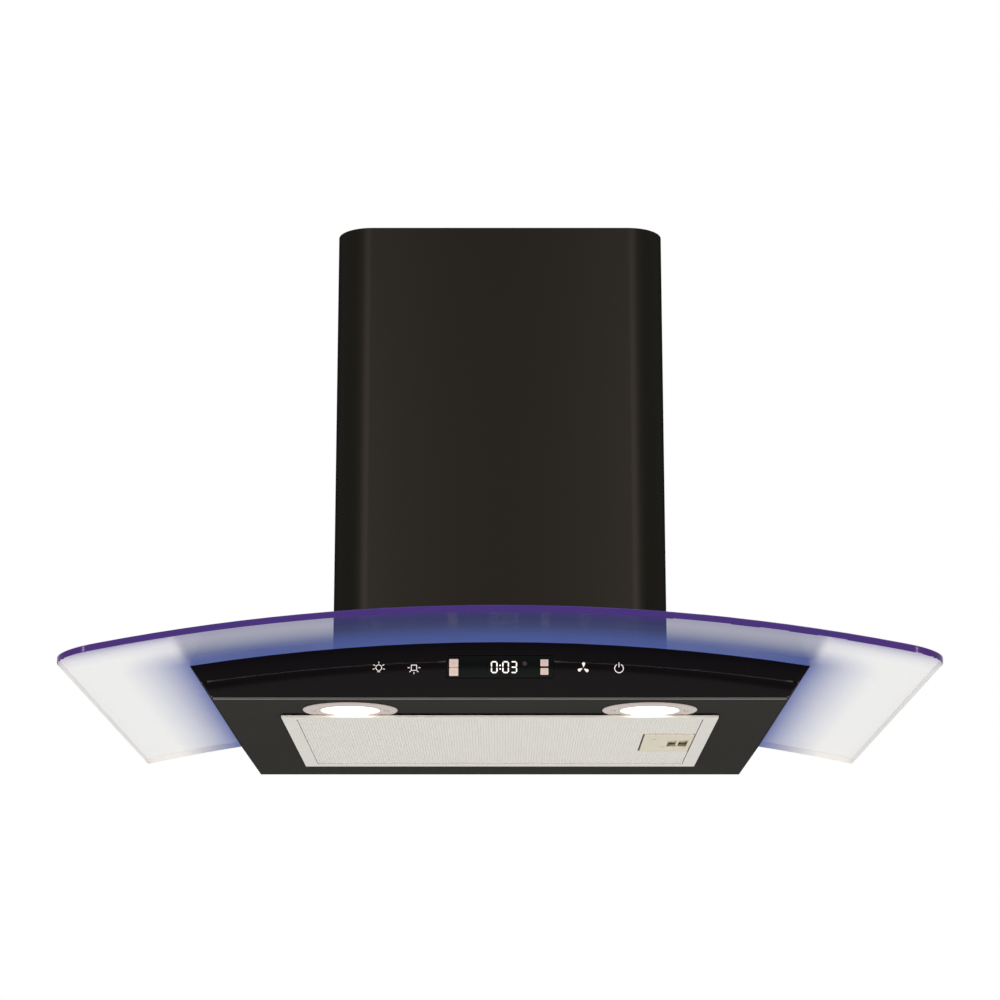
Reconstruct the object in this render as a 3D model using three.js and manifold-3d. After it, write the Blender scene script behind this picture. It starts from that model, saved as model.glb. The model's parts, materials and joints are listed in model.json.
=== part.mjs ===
// Curved glass range hood, wall mounted, 600 mm class. Millimetres, +Z up, front towards -Y.
// The wall is the plane y = 0. Inside the model z = 0 is the underside of the canopy; the exported
// group is lowered so that the origin is the middle of the wall plate, where the hood hangs.
import * as THREE from 'three';
import { mergeVertices } from 'three/addons/utils/BufferGeometryUtils.js';
import Module from 'manifold-3d';

const wasm = await Module();
wasm.setup();

// ---------------------------------------------------------------- driving dimensions
const GAP = 0.3;                    // clearance between pieces that seat on each other
const MOUNT_HEIGHT = 300;           // middle of the wall plate above the canopy underside

// glass: arched from side to side, level from front to back
const GLASS_WIDTH = 600;
const GLASS_DEPTH = 506;
const GLASS_THICKNESS = 5;
const GLASS_CORNER = 24;
const GLASS_CROWN = 41;             // underside of the glass at the middle
const GLASS_RADIUS = 1416;          // radius of the underside
const GLASS_HOLE = 9;

// canopy body under the glass
const BODY_WIDTH = 406.6;           // at the underside
const BODY_DEPTH = 397;
const SIDE_FLARE = 0.72;            // how far the sides lean out per unit of height
const SHEET = 1.2;
const DECK_DROP = 2.3;              // deck of the body below the glass
const FASCIA_THICKNESS = 4;
const SEAM_CROWN = 27;              // joint between the fascia and the touch panel, at the middle
const SEAM_RADIUS = 1440;
const SEAM_GAP = 0.4;
const TRIM_HEIGHT = 1.4;

// display and touch controls
const DISPLAY_WIDTH = 75;
const DISPLAY_HEIGHT = 16;
const DISPLAY_Z = 23;
const DISPLAY_MODULE_DEPTH = 8.4;
const BOARD_WIDTH = 224;
const BOARD_HEIGHT = 20;
const BOARD_THICKNESS = 1.6;
const BOARD_Z = 21.9;
const TOUCH_X = [-86, -61, 61, 86];
const TOUCH_DIAMETER = 8;

// grease filter, between the strip that holds the lamps and the rear of the body
const FILTER_WIDTH = 320;
const FRONT_STRIP = 66;             // from the fascia to the front edge of the filter
const FILTER_REAR = 71;             // distance of its rear edge from the wall
const FLANGE_THICKNESS = 1.6;
const FLANGE_BOTTOM = -3;
const FLANGE_RIM = 10.5;
const FILTER_WALL = 1;
const FILTER_HEIGHT = 8;            // top of the filter above the underside
const MESH_PITCH = 6;
const MESH_SHEET = 1.6;             // thickness of the fleece, measured straight up
const TONGUE_WIDTH = 24;
const TONGUE_SPACING = 110;

// filter latch, near the right edge of the filter
const LATCH_INSET = 30.5;           // its middle from the edge of the filter
const LATCH_OFFSET = 2;             // its middle behind the middle of the filter
const LATCH_LENGTH = 38;
const LATCH_WIDTH = 88;
const FINGER_WIDTH = 15.5;
const FINGER_DEPTH = 38;
const FINGER_OFFSET = 3;            // behind the middle of the latch
const PULL_LENGTH = 26;
const BOLT_WIDTH = 18;
const BOLT_THICKNESS = 2;
const BOLT_THROW = 5;
const SPRING_COILS = 4;
const SPRING_RADIUS = 2.2;
const SPRING_WIRE = 0.5;

// lamps
const LAMP_X = 108.5;
const LAMP_SETBACK = 48;            // behind the fascia
const LAMP_BEZEL_RADIUS = 34.5;
const LAMP_BEZEL_THICKNESS = 0.8;
const LAMP_LENS_RADIUS = 21.2;
const LAMP_CUP_WALL = 2;
const LAMP_CUP_HEIGHT = 17;

// edge lights
const EDGE_LIGHT_WIDTH = 8;

// chimney
const CHIMNEY_WIDTH = 258;
const CHIMNEY_DEPTH = 258;
const CHIMNEY_CORNER = 28;
const CHIMNEY_TOP = 400;
const CHIMNEY_LIP = 9;
const SLIDE_CLEARANCE = 0.6;
const UPPER_BOTTOM = 62;
const UPPER_REAR = 4;
const UPPER_DROP = 6;               // top of the upper chimney below that of the lower one
const BRACKET_HEIGHT = 24;
const BRACKET_REACH = 90;
const BRACKET_SHEET = 1.6;
const BRACKET_SCREW_Y = -60;
const BRACKET_HOLE_SPACING = 140;

// motor chassis, standing on the glass inside the chimney
const CHASSIS_MARGIN = 19;          // between chassis and chimney, on each side
const CHASSIS_FRONT_MARGIN = 36;
const CHASSIS_TOP = 300;
const CHASSIS_SHEET = 1.2;
const CHASSIS_FLANGE = 12;
const THROAT_RIM = 8;               // from the chassis to the air opening through deck and glass
const THROAT_REAR = 18;
const THROAT_CORNER = 6;
const GASKET_RIM = 14;
const SCREW_OUTSET = 5.5;           // glass screws outside the chassis walls
const SCREW_Y = [-60, -180];
const SCREW_DIAMETER = 5;
const SCREW_HEAD = 9;
const WIRE_SLOT = 12;

// wall plate
const WALL_PLATE_MARGIN = 4;        // narrower than the chassis, on each side
const WALL_PLATE_THICKNESS = 1.5;
const WALL_PLATE_BOTTOM = 52;
const WALL_PLATE_RISE = 34;         // above the chassis
const KEYHOLE_DROP = 22;
const KEYHOLE_SPACING = 150;
const KEYHOLE_HEAD = 12;
const KEYHOLE_NECK = 6;

// fan
const FAN_CLEARANCE = 2.2;          // between the widest place of the scroll and the chassis
const FAN_Y = -115;
const FAN_Z = 165;
const SCROLL_DEPTH = 122;
const SCROLL_WALL = 2;
const SCROLL_START = 6;             // channel outside the wheel at the tongue
const SCROLL_END = 34;              // and at the outlet
const TONGUE_ANGLE = 65;
const OUTLET_OFFSET = 20.5;         // left edge of the outlet, left of the fan shaft
const INLET_OVERLAP = 9;            // how far the cheeks reach in over the blades
const INLET_LIP = 5;
const IMPELLER_RADIUS = 66;
const IMPELLER_CLEARANCE = 4;
const BLADES = 24;
const BLADE_CHORD = 9.5;
const BLADE_THICKNESS = 1.1;
const IMPELLER_RIM = 2.5;
const WHEEL_DISC = 2.4;
const HUB_RADIUS = 12;
const HUB_FRONT = 12;
const MOTOR_RADIUS = 42;
const MOTOR_LENGTH = 52;
const MOTOR_OVERHANG = 5;           // behind the rear cheek
const SHAFT_RADIUS = 4;

// outlet with the non-return flaps
const COLLAR_OFFSET = 42;           // right of the fan shaft
const COLLAR_RADIUS = 62.5;
const COLLAR_WALL = 1.8;
const COLLAR_HEIGHT = 52;
const COLLAR_FLANGE = 9;
const FLAP_HEIGHT = 22;
const FLAP_THICKNESS = 1;
const FLAP_CLEARANCE = 1.2;
const FLAP_RIB = 18;                // stiffening rib from the pin
const LEDGE_WIDTH = 3;
const PIN_RADIUS = 1.6;
const BARREL_RADIUS = 3;
const BARREL_LENGTH = 18;

// electrics
const TERMINAL_BOX = [46, 30, 60];
const TERMINAL_BOX_INSET = 6;
const TERMINAL_BOX_FRONT = 72;
const GLAND_RADIUS = 8;
const CAPACITOR_RADIUS = 12;
const CAPACITOR_LENGTH = 44;
const CAPACITOR_INSET = 24;
const CAPACITOR_Y = -190;

// ---------------------------------------------------------------- derived places
const ARC_CENTRE = GLASS_CROWN - GLASS_RADIUS;
const GLASS_TOP_RADIUS = GLASS_RADIUS + GLASS_THICKNESS;
const archZ = (radius, x) => ARC_CENTRE + Math.sqrt(radius * radius - x * x);
const FASCIA_BACK = -(BODY_DEPTH - FASCIA_THICKNESS);
const SHELL_FRONT = FASCIA_BACK + GAP;
const SHELL_INNER_FRONT = SHELL_FRONT + SHEET;
const BOARD_FRONT = SHELL_FRONT + DISPLAY_MODULE_DEPTH + GAP;
const FILTER_FRONT_Y = -(BODY_DEPTH - FRONT_STRIP);
const FILTER_BACK_Y = -FILTER_REAR;
const FLANGE_TOP = FLANGE_BOTTOM + FLANGE_THICKNESS;
const PANEL_TOP = SHEET;
const LATCH_X = FILTER_WIDTH / 2 - LATCH_INSET;
const LATCH_Y = (FILTER_FRONT_Y + FILTER_BACK_Y) / 2 + LATCH_OFFSET;
const LAMP_Y = -(BODY_DEPTH - LAMP_SETBACK);
const LAMP_CUP_RADIUS = LAMP_LENS_RADIUS + LAMP_CUP_WALL;
const EDGE_LIGHT_THICKNESS = DECK_DROP - 3 * GAP;
const CHASSIS_HALF = CHIMNEY_WIDTH / 2 - CHASSIS_MARGIN;
const CHASSIS_DEPTH = CHIMNEY_DEPTH - CHASSIS_FRONT_MARGIN;
const THROAT_HALF = CHASSIS_HALF - THROAT_RIM;
const THROAT_FRONT = CHASSIS_DEPTH - THROAT_RIM;
const SCREW_X = CHASSIS_HALF + SCREW_OUTSET;

// ---------------------------------------------------------------- shape helpers
function toSolid(geometry) {
  const g = geometry.clone();
  g.deleteAttribute('normal');
  g.deleteAttribute('uv');
  const merged = mergeVertices(g, 1e-5);
  const mesh = new wasm.Mesh({
    numProp: 3,
    vertProperties: new Float32Array(merged.attributes.position.array),
    triVerts: new Uint32Array(merged.index.array),
  });
  return new wasm.Manifold(mesh);
}

function toGeometry(solid) {
  const mesh = solid.getMesh();
  const g = new THREE.BufferGeometry();
  g.setAttribute('position', new THREE.BufferAttribute(new Float32Array(mesh.vertProperties), 3));
  g.setIndex(new THREE.BufferAttribute(new Uint32Array(mesh.triVerts), 1));
  g.computeVertexNormals();
  return g;
}

const cut = (solid, ...tools) => tools.reduce((left, tool) => left.subtract(tool), solid);
const join = (solid, ...more) => more.reduce((left, piece) => left.add(piece), solid);

function block(x0, x1, y0, y1, z0, z1) {
  const g = new THREE.BoxGeometry(x1 - x0, y1 - y0, z1 - z0);
  g.translate((x0 + x1) / 2, (y0 + y1) / 2, (z0 + z1) / 2);
  return toSolid(g);
}

// Outline in X and Y, raised from z0 to z1.
function plate(shape, z0, z1, steps = 6) {
  const g = new THREE.ExtrudeGeometry(shape, { depth: z1 - z0, bevelEnabled: false, curveSegments: steps });
  g.translate(0, 0, z0);
  return toSolid(g);
}

// Outline in X and Z, run from y0 at the front to y1 at the back.
function profile(shape, y0, y1, steps = 6) {
  const g = new THREE.ExtrudeGeometry(shape, { depth: y1 - y0, bevelEnabled: false, curveSegments: steps });
  g.rotateX(Math.PI / 2);
  g.translate(0, y1, 0);
  return toSolid(g);
}

function rounded(x0, x1, y0, y1, r) {
  const s = new THREE.Shape();
  s.moveTo(x0 + r, y0);
  s.lineTo(x1 - r, y0);
  s.absarc(x1 - r, y0 + r, r, -Math.PI / 2, 0);
  s.lineTo(x1, y1 - r);
  s.absarc(x1 - r, y1 - r, r, 0, Math.PI / 2);
  s.lineTo(x0 + r, y1);
  s.absarc(x0 + r, y1 - r, r, Math.PI / 2, Math.PI);
  s.lineTo(x0, y0 + r);
  s.absarc(x0 + r, y0 + r, r, Math.PI, 1.5 * Math.PI);
  return s;
}

// Turned piece about Z from a profile of [radius, height] points that starts and ends on the axis
// or closes on itself.
function turned(points, sides) {
  const g = new THREE.LatheGeometry(points.map(([r, z]) => new THREE.Vector2(r, z)), sides);
  g.rotateX(Math.PI / 2);
  const solid = toSolid(g);
  return solid.volume() < 0 ? toSolid(flip(g)) : solid;
}

function flip(geometry) {
  const g = geometry.clone();
  const index = g.index.array;
  for (let i = 0; i < index.length; i += 3) {
    [index[i], index[i + 1]] = [index[i + 1], index[i]];
  }
  return g;
}

function disc(r, z0, z1, sides = 32) {
  return turned([[0, z0], [r, z0], [r, z1], [0, z1]], sides);
}

function ring(rIn, rOut, z0, z1, sides = 32) {
  return turned([[rIn, z0], [rOut, z0], [rOut, z1], [rIn, z1], [rIn, z0]], sides);
}

// The same pieces lying along Y (low values at the front) or X.
const alongY = (solid) => solid.rotate([90, 0, 0]).mirror([0, 1, 0]);
const alongX = (solid) => solid.rotate([0, 90, 0]);

// Part of a body bounded by two arcs concentric with the glass.
function archBand(rLow, rHigh, halfWidth, y0, y1, steps = 32) {
  const s = new THREE.Shape();
  const dx = (2 * halfWidth) / steps;
  s.moveTo(-halfWidth, archZ(rHigh, halfWidth));
  for (let i = 1; i <= steps; i += 1) {
    const x = -halfWidth + i * dx;
    s.lineTo(x, archZ(rHigh, x));
  }
  for (let i = steps; i >= 0; i -= 1) {
    const x = -halfWidth + i * dx;
    s.lineTo(x, archZ(rLow, x));
  }
  return profile(s, y0, y1);
}

// Where the leaning side of the body meets the arc of a given radius.
function sideCorner(radius, inset = 0) {
  const half = BODY_WIDTH / 2 - inset;
  const a = 1 + SIDE_FLARE * SIDE_FLARE;
  const b = 2 * (half * SIDE_FLARE - ARC_CENTRE);
  const c = half * half + ARC_CENTRE * ARC_CENTRE - radius * radius;
  const z = (-b + Math.sqrt(b * b - 4 * a * c)) / (2 * a);
  return { x: half + SIDE_FLARE * z, z };
}

// Front outline of the body between height z0 and the arc of a given radius.
function bodyOutline(z0, radius, inset = 0, steps = 16) {
  const corner = sideCorner(radius, inset);
  const half = BODY_WIDTH / 2 - inset + SIDE_FLARE * z0;
  const s = new THREE.Shape();
  s.moveTo(-half, z0);
  s.lineTo(half, z0);
  for (let i = 0; i <= steps; i += 1) {
    const x = corner.x - (2 * corner.x * i) / steps;
    s.lineTo(x, archZ(radius, x));
  }
  return s;
}

// ---------------------------------------------------------------- scene helpers
const hood = new THREE.Group();
hood.position.z = -MOUNT_HEIGHT;

function finish(color, roughness, metalness, extra = {}) {
  return new THREE.MeshStandardMaterial({ color, roughness, metalness, ...extra });
}

const finishes = {
  blackPaint: finish(0x24231e, 0.42, 0.2),
  blackGloss: finish(0x19171a, 0.12, 0.0),
  glass: finish(0xe9edf2, 0.05, 0.0, { transparent: true, opacity: 0.35 }),
  blueLight: finish(0x3a48ff, 0.4, 0.0),
  aluminium: finish(0xd6d5d0, 0.4, 0.9),
  latch: finish(0xd1ccb9, 0.5, 0.2),
  galvanised: finish(0xa9adb0, 0.5, 0.8),
  steel: finish(0xc2c4c6, 0.3, 0.9),
  rubber: finish(0x1c1c1e, 0.9, 0.0),
  plasticGrey: finish(0x5a5c60, 0.6, 0.0),
  plasticBlack: finish(0x1b1b1d, 0.55, 0.0),
  plasticWhite: finish(0xe6e4dd, 0.5, 0.0),
  board: finish(0x1e5a36, 0.5, 0.1),
  lens: finish(0xfff6ea, 0.3, 0.0),
};

function add(name, solid, material, parent = hood, place = [0, 0, 0]) {
  const mesh = new THREE.Mesh(toGeometry(solid), material);
  mesh.name = name;
  mesh.position.set(...place);
  parent.add(mesh);
  return mesh;
}

// ---------------------------------------------------------------- glass
const screwAngle = Math.asin(SCREW_X / GLASS_TOP_RADIUS);

// Runs a turned piece square through the arch at a glass screw.
function atScrew(solid, side, y, radius) {
  const x = side * radius * Math.sin(screwAngle);
  const z = ARC_CENTRE + radius * Math.cos(screwAngle);
  return solid.rotate([0, (side * screwAngle * 180) / Math.PI, 0]).translate([x, y, z]);
}

function screwHoles(diameter) {
  const holes = [];
  for (const side of [-1, 1]) {
    for (const y of SCREW_Y) {
      holes.push(atScrew(disc(diameter / 2, -20, 20, 8), side, y, GLASS_RADIUS));
    }
  }
  return holes;
}

// Air opening through deck, gasket and glass.
function throat() {
  const outline = rounded(-THROAT_HALF, THROAT_HALF, -THROAT_FRONT, -THROAT_REAR, THROAT_CORNER);
  return plate(outline, GLASS_CROWN / 2, 80, 3);
}

function makeGlass() {
  const half = GLASS_WIDTH / 2;
  const s = new THREE.Shape();
  s.moveTo(-half, 0);
  s.lineTo(-half, -GLASS_DEPTH + GLASS_CORNER);
  s.absarc(-half + GLASS_CORNER, -GLASS_DEPTH + GLASS_CORNER, GLASS_CORNER, Math.PI, 1.5 * Math.PI);
  s.lineTo(half - GLASS_CORNER, -GLASS_DEPTH);
  s.absarc(half - GLASS_CORNER, -GLASS_DEPTH + GLASS_CORNER, GLASS_CORNER, -Math.PI / 2, 0);
  s.lineTo(half, 0);
  const outline = plate(s, -60, 80, 8);
  const band = archBand(GLASS_RADIUS, GLASS_TOP_RADIUS, half + 10, -GLASS_DEPTH - 10, 10, 32);
  return cut(outline.intersect(band), throat(), ...screwHoles(GLASS_HOLE));
}
add('glass_canopy', makeGlass(), finishes.glass);

function makeGasket() {
  const half = THROAT_HALF + GASKET_RIM + 6;
  const y0 = -THROAT_FRONT - GASKET_RIM;
  const outer = plate(rounded(-half, half, y0, -3, 6), 0, 80, 3);
  const band = archBand(GLASS_RADIUS - DECK_DROP + GAP, GLASS_RADIUS - GAP, half + 20, y0 - 5, 0, 10);
  return cut(outer.intersect(band), throat(), ...screwHoles(SCREW_DIAMETER + 2 * GAP));
}
add('glass_gasket', makeGasket(), finishes.rubber);

// ---------------------------------------------------------------- canopy body
const FILTER_HOLE = {
  x: FILTER_WIDTH / 2 - 0.8,
  front: FILTER_FRONT_Y + 8.5,
  back: FILTER_BACK_Y - 2,
};

function touchBars(radius, y0, y1) {
  return TOUCH_X.map((x) => alongY(disc(radius, y0, y1, 10)).translate([x, 0, BOARD_Z]));
}

function makeShell() {
  const outer = profile(bodyOutline(0, GLASS_RADIUS - GAP), SHELL_FRONT, 0);
  const wall = SHEET * Math.sqrt(1 + SIDE_FLARE * SIDE_FLARE);
  const inside = profile(bodyOutline(SHEET, GLASS_RADIUS - DECK_DROP - SHEET, wall), SHELL_INNER_FRONT, -SHEET);
  const corner = sideCorner(GLASS_RADIUS - GAP, wall);
  const tray = plate(rounded(-corner.x, corner.x, SHELL_INNER_FRONT, -SHEET, 1), 0, 80, 2)
    .intersect(archBand(GLASS_RADIUS - DECK_DROP, GLASS_RADIUS + 20, corner.x + 5, SHELL_FRONT, 0, 16));
  const { x, front, back } = FILTER_HOLE;
  const filterHole = block(-x, x, front, back, -1, SHEET + 1);
  const lampHoles = [-1, 1].map((side) => disc(LAMP_CUP_RADIUS + 1, -1, SHEET + 1, 28)
    .translate([side * LAMP_X, LAMP_Y, 0]));
  const half = DISPLAY_WIDTH / 2;
  const moduleHole = block(-half, half, SHELL_FRONT - 1, SHELL_INNER_FRONT + 1,
    DISPLAY_Z - DISPLAY_HEIGHT / 2, DISPLAY_Z + DISPLAY_HEIGHT / 2);
  const touchHoles = touchBars(TOUCH_DIAMETER / 2 + 1, SHELL_FRONT - 1, SHELL_INNER_FRONT + 1);
  const bosses = [-1, 1].map((side) => alongY(disc(3, SHELL_INNER_FRONT - 0.5, BOARD_FRONT - GAP, 8))
    .translate([side * (BOARD_WIDTH / 2 - 6), 0, BOARD_Z]));
  const hollow = cut(outer, inside, tray, throat(), filterHole, ...lampHoles, moduleHole, ...touchHoles);
  return cut(join(hollow, ...bosses), ...screwHoles(SCREW_DIAMETER + 2 * GAP));
}
add('canopy_shell', makeShell(), finishes.blackGloss);

function displayBox(grow, y0, y1) {
  const half = DISPLAY_WIDTH / 2 + grow;
  const tall = DISPLAY_HEIGHT / 2 + grow;
  return block(-half, half, y0, y1, DISPLAY_Z - tall, DISPLAY_Z + tall);
}

// Everything under the joint between the fascia and the touch panel.
function underSeam(offset) {
  const s = new THREE.Shape();
  const half = BODY_WIDTH;
  const steps = 40;
  const centre = SEAM_CROWN - SEAM_RADIUS + offset;
  s.moveTo(-half, -50);
  s.lineTo(half, -50);
  for (let i = 0; i <= steps; i += 1) {
    const x = half - (2 * half * i) / steps;
    s.lineTo(x, centre + Math.sqrt(SEAM_RADIUS * SEAM_RADIUS - x * x));
  }
  return profile(s, -BODY_DEPTH - 5, FASCIA_BACK + 5);
}

const facePlate = profile(bodyOutline(TRIM_HEIGHT + GAP, GLASS_RADIUS - GAP), -BODY_DEPTH, FASCIA_BACK);
const displayNotch = displayBox(GAP, -BODY_DEPTH - 1, FASCIA_BACK + 1);
add('fascia_band', cut(facePlate, underSeam(SEAM_GAP), displayNotch), finishes.blackGloss);
add('control_panel', cut(facePlate.intersect(underSeam(0)), displayNotch), finishes.blackGloss);
add('display_window', displayBox(0, -BODY_DEPTH, FASCIA_BACK), finishes.blackGloss);

const trimHalf = BODY_WIDTH / 2;
add('fascia_trim', block(-trimHalf, trimHalf, -BODY_DEPTH, FASCIA_BACK, 0, TRIM_HEIGHT), finishes.steel);

add('display_module', displayBox(-1, SHELL_FRONT, BOARD_FRONT - GAP), finishes.plasticBlack);
add('control_board', block(-BOARD_WIDTH / 2, BOARD_WIDTH / 2, BOARD_FRONT, BOARD_FRONT + BOARD_THICKNESS,
  BOARD_Z - BOARD_HEIGHT / 2, BOARD_Z + BOARD_HEIGHT / 2), finishes.board);
touchBars(TOUCH_DIAMETER / 2, SHELL_FRONT, BOARD_FRONT - GAP).forEach((bar, i) => {
  add(`touch_sensor_${i + 1}`, bar, finishes.rubber);
});

// ---------------------------------------------------------------- edge lights on the deck
function makeEdgeLight(x0, x1, y0, y1) {
  const low = GLASS_RADIUS - DECK_DROP + GAP;
  const outline = block(x0, x1, y0, y1, -20, 80);
  return outline.intersect(archBand(low, low + EDGE_LIGHT_THICKNESS, GLASS_WIDTH / 2, y0 - 5, y1 + 5, 24));
}
const trayHalf = sideCorner(GLASS_RADIUS - DECK_DROP, SHEET * Math.sqrt(1 + SIDE_FLARE ** 2)).x;
const lightOut = trayHalf - 1.5;
const lightIn = lightOut - EDGE_LIGHT_WIDTH;
const lightFront = SHELL_INNER_FRONT + 2;
const lightBack = -14;
add('edge_light_left', makeEdgeLight(-lightOut, -lightIn, lightFront, lightBack), finishes.blueLight);
add('edge_light_right', makeEdgeLight(lightIn, lightOut, lightFront, lightBack), finishes.blueLight);
add('edge_light_front', makeEdgeLight(-lightIn + 3, lightIn - 3, lightFront, lightFront + EDGE_LIGHT_WIDTH),
  finishes.blueLight);

// ---------------------------------------------------------------- lamps
// Ring of the lamp, flush against the underside, with a collar that centres it in the hole. Its rear
// is flat where the rim of the filter passes under it.
function makeBezel() {
  const bottom = -GAP - LAMP_BEZEL_THICKNESS;
  const inner = LAMP_LENS_RADIUS + GAP;
  const round = turned([
    [inner, bottom], [LAMP_BEZEL_RADIUS - 0.8, bottom], [LAMP_BEZEL_RADIUS, bottom + 0.5],
    [LAMP_BEZEL_RADIUS, -GAP], [LAMP_CUP_RADIUS, -GAP], [LAMP_CUP_RADIUS, SHEET + 2],
    [inner, SHEET + 2], [inner, bottom],
  ], 30);
  const flat = FILTER_HOLE.front - 1.5 - LAMP_Y;
  return cut(round, block(-LAMP_BEZEL_RADIUS - 1, LAMP_BEZEL_RADIUS + 1, flat, flat + LAMP_BEZEL_RADIUS,
    bottom - 1, -0.5 * GAP));
}

function makeLens() {
  const bottom = -GAP - LAMP_BEZEL_THICKNESS + 0.2;
  return turned([[0, bottom], [LAMP_LENS_RADIUS - 1, bottom], [LAMP_LENS_RADIUS, bottom + 0.6],
    [LAMP_LENS_RADIUS, bottom + 2.4], [0, bottom + 2.4]], 24);
}

// Finned heat sink behind the lamp.
function makeLampHousing() {
  const base = SHEET + 2 + GAP;
  const points = [[0, base], [LAMP_CUP_RADIUS - 0.6, base]];
  const fins = 2;
  const step = (LAMP_CUP_HEIGHT - 3) / fins;
  for (let i = 0; i < fins; i += 1) {
    const z = base + 3 + i * step;
    points.push([LAMP_CUP_RADIUS - 0.6, z], [LAMP_CUP_RADIUS - 6, z + 0.6]);
    points.push([LAMP_CUP_RADIUS - 6, z + step - 2], [LAMP_CUP_RADIUS - 1.4, z + step - 1.6]);
    points.push([LAMP_CUP_RADIUS - 1.4, z + step - 0.2]);
  }
  points.push([0, base + LAMP_CUP_HEIGHT]);
  return turned(points, 16);
}

for (const [side, label] of [[-1, 'left'], [1, 'right']]) {
  const lamp = new THREE.Group();
  lamp.position.set(side * LAMP_X, LAMP_Y, 0);
  hood.add(lamp);
  add(`lamp_bezel_${label}`, makeBezel(), finishes.steel, lamp);
  add(`lamp_lens_${label}`, makeLens(), finishes.lens, lamp);
  add(`lamp_housing_${label}`, makeLampHousing(), finishes.aluminium, lamp);
}

// ---------------------------------------------------------------- grease filter
const filterHalf = FILTER_WIDTH / 2;
const wallHalf = FILTER_HOLE.x - 1.8;
const wallFront = FILTER_HOLE.front + 1.4;
const wallBack = FILTER_HOLE.back - 1.4;
const boltLow = PANEL_TOP + 0.4;
const boltHigh = boltLow + BOLT_THICKNESS;
const latch = {
  x0: LATCH_X - LATCH_LENGTH / 2,
  x1: LATCH_X + LATCH_LENGTH / 2,
  y0: LATCH_Y - LATCH_WIDTH / 2,
  y1: LATCH_Y + LATCH_WIDTH / 2,
};

function makeFilterFrame() {
  const flange = block(-filterHalf, filterHalf, FILTER_FRONT_Y, FILTER_BACK_Y, FLANGE_BOTTOM, FLANGE_TOP);
  const sight = block(-filterHalf + FLANGE_RIM, filterHalf - FLANGE_RIM, FILTER_FRONT_Y + FLANGE_RIM,
    FILTER_BACK_Y - FLANGE_RIM, FLANGE_BOTTOM - 1, FLANGE_TOP + 1);
  const box = block(-wallHalf, wallHalf, wallFront, wallBack, FLANGE_TOP - 0.2, FILTER_HEIGHT);
  const w = FILTER_WALL;
  const room = block(-wallHalf + w, wallHalf - w, wallFront + w, wallBack - w, FLANGE_TOP - 1, FILTER_HEIGHT - w);
  const mouth = block(-wallHalf + 5, wallHalf - 5, wallFront + 5, wallBack - 5, 0, FILTER_HEIGHT + 1);
  const tongues = [-1, 1].map((side) => {
    const y = (wallFront + wallBack) / 2 + (side * TONGUE_SPACING) / 2;
    return block(-wallHalf - 6, -wallHalf + 0.5, y - TONGUE_WIDTH / 2, y + TONGUE_WIDTH / 2,
      boltLow, boltLow + w);
  });
  const boltSlot = block(wallHalf - 2, wallHalf + 1, LATCH_Y - BOLT_WIDTH / 2 - 0.5,
    LATCH_Y + BOLT_WIDTH / 2 + 0.5, boltLow - 0.4, boltHigh + 0.4);
  const tray = cut(join(cut(flange, sight), cut(box, room, mouth)), boltSlot);
  return join(tray, ...tongues);
}
add('filter_frame', makeFilterFrame(), finishes.aluminium);

// Pleated aluminium fleece: a zigzag sheet whose folds run from front to back.
function makeFilterMesh() {
  const half = wallHalf - FILTER_WALL - GAP;
  const low = FLANGE_TOP + GAP;
  const high = FILTER_HEIGHT - FILTER_WALL - GAP;
  const folds = Math.round((2 * half) / MESH_PITCH);
  const pitch = (2 * half) / folds;
  const rise = high - low - MESH_SHEET;
  const s = new THREE.Shape();
  s.moveTo(-half, low);
  for (let i = 1; i <= 2 * folds; i += 1) s.lineTo(-half + (i * pitch) / 2, low + (i % 2) * rise);
  for (let i = 2 * folds; i >= 0; i -= 1) {
    s.lineTo(-half + (i * pitch) / 2, low + MESH_SHEET + (i % 2) * rise);
  }
  const front = wallFront + FILTER_WALL + GAP;
  const slab = profile(s, front, wallBack - FILTER_WALL - GAP);
  const pocket = block(latch.x0 - GAP, half + 5, latch.y0 - GAP, latch.y1 + GAP, low - 5, high + 5);
  return cut(slab, pocket);
}
add('filter_mesh', makeFilterMesh(), finishes.aluminium);

// Pocket that holds the sliding bolt, open on top, with a finger hole below.
const fingerX0 = latch.x1 - FINGER_WIDTH - 2.6;
const fingerX1 = fingerX0 + FINGER_WIDTH;
const pocketWall = 1.2;
const plateBottom = FLANGE_BOTTOM + 0.1;
const plateTop = FLANGE_TOP + 0.1;
const pocketTop = FILTER_HEIGHT - FILTER_WALL - GAP;
const slider = {
  x1: latch.x1 - pocketWall - GAP,
  x0: latch.x1 - pocketWall - GAP - 24,
};

function makeLatchPlate() {
  const shell = block(latch.x0, latch.x1, latch.y0, latch.y1, plateBottom, pocketTop);
  const t = pocketWall;
  const room = block(latch.x0 + t, latch.x1 - t, latch.y0 + t, latch.y1 - t, plateTop, pocketTop + 1);
  const fingerY = LATCH_Y + FINGER_OFFSET;
  const finger = block(fingerX0, fingerX1, fingerY - FINGER_DEPTH / 2, fingerY + FINGER_DEPTH / 2,
    plateBottom - 1, plateTop + 1);
  const guide = block(fingerX0 - 6, fingerX0 + 1, LATCH_Y + FINGER_DEPTH / 2 - 2, LATCH_Y + FINGER_DEPTH / 2 + 2.4,
    plateBottom - 1, plateTop + 1);
  const boltSlot = block(latch.x1 - 3, latch.x1 + 1, LATCH_Y - BOLT_WIDTH / 2 - 0.5,
    LATCH_Y + BOLT_WIDTH / 2 + 0.5, boltLow - 0.4, boltHigh + 0.4);
  const rails = [-1, 1].map((side) => {
    const y = LATCH_Y + side * (LATCH_WIDTH / 2 - t - 14);
    return block(latch.x0 + t - 0.2, latch.x1 - t + 0.2, y - 1, y + 1, plateTop - 0.2, boltLow - GAP);
  });
  return join(cut(shell, room, finger, guide, boltSlot), ...rails);
}
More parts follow.
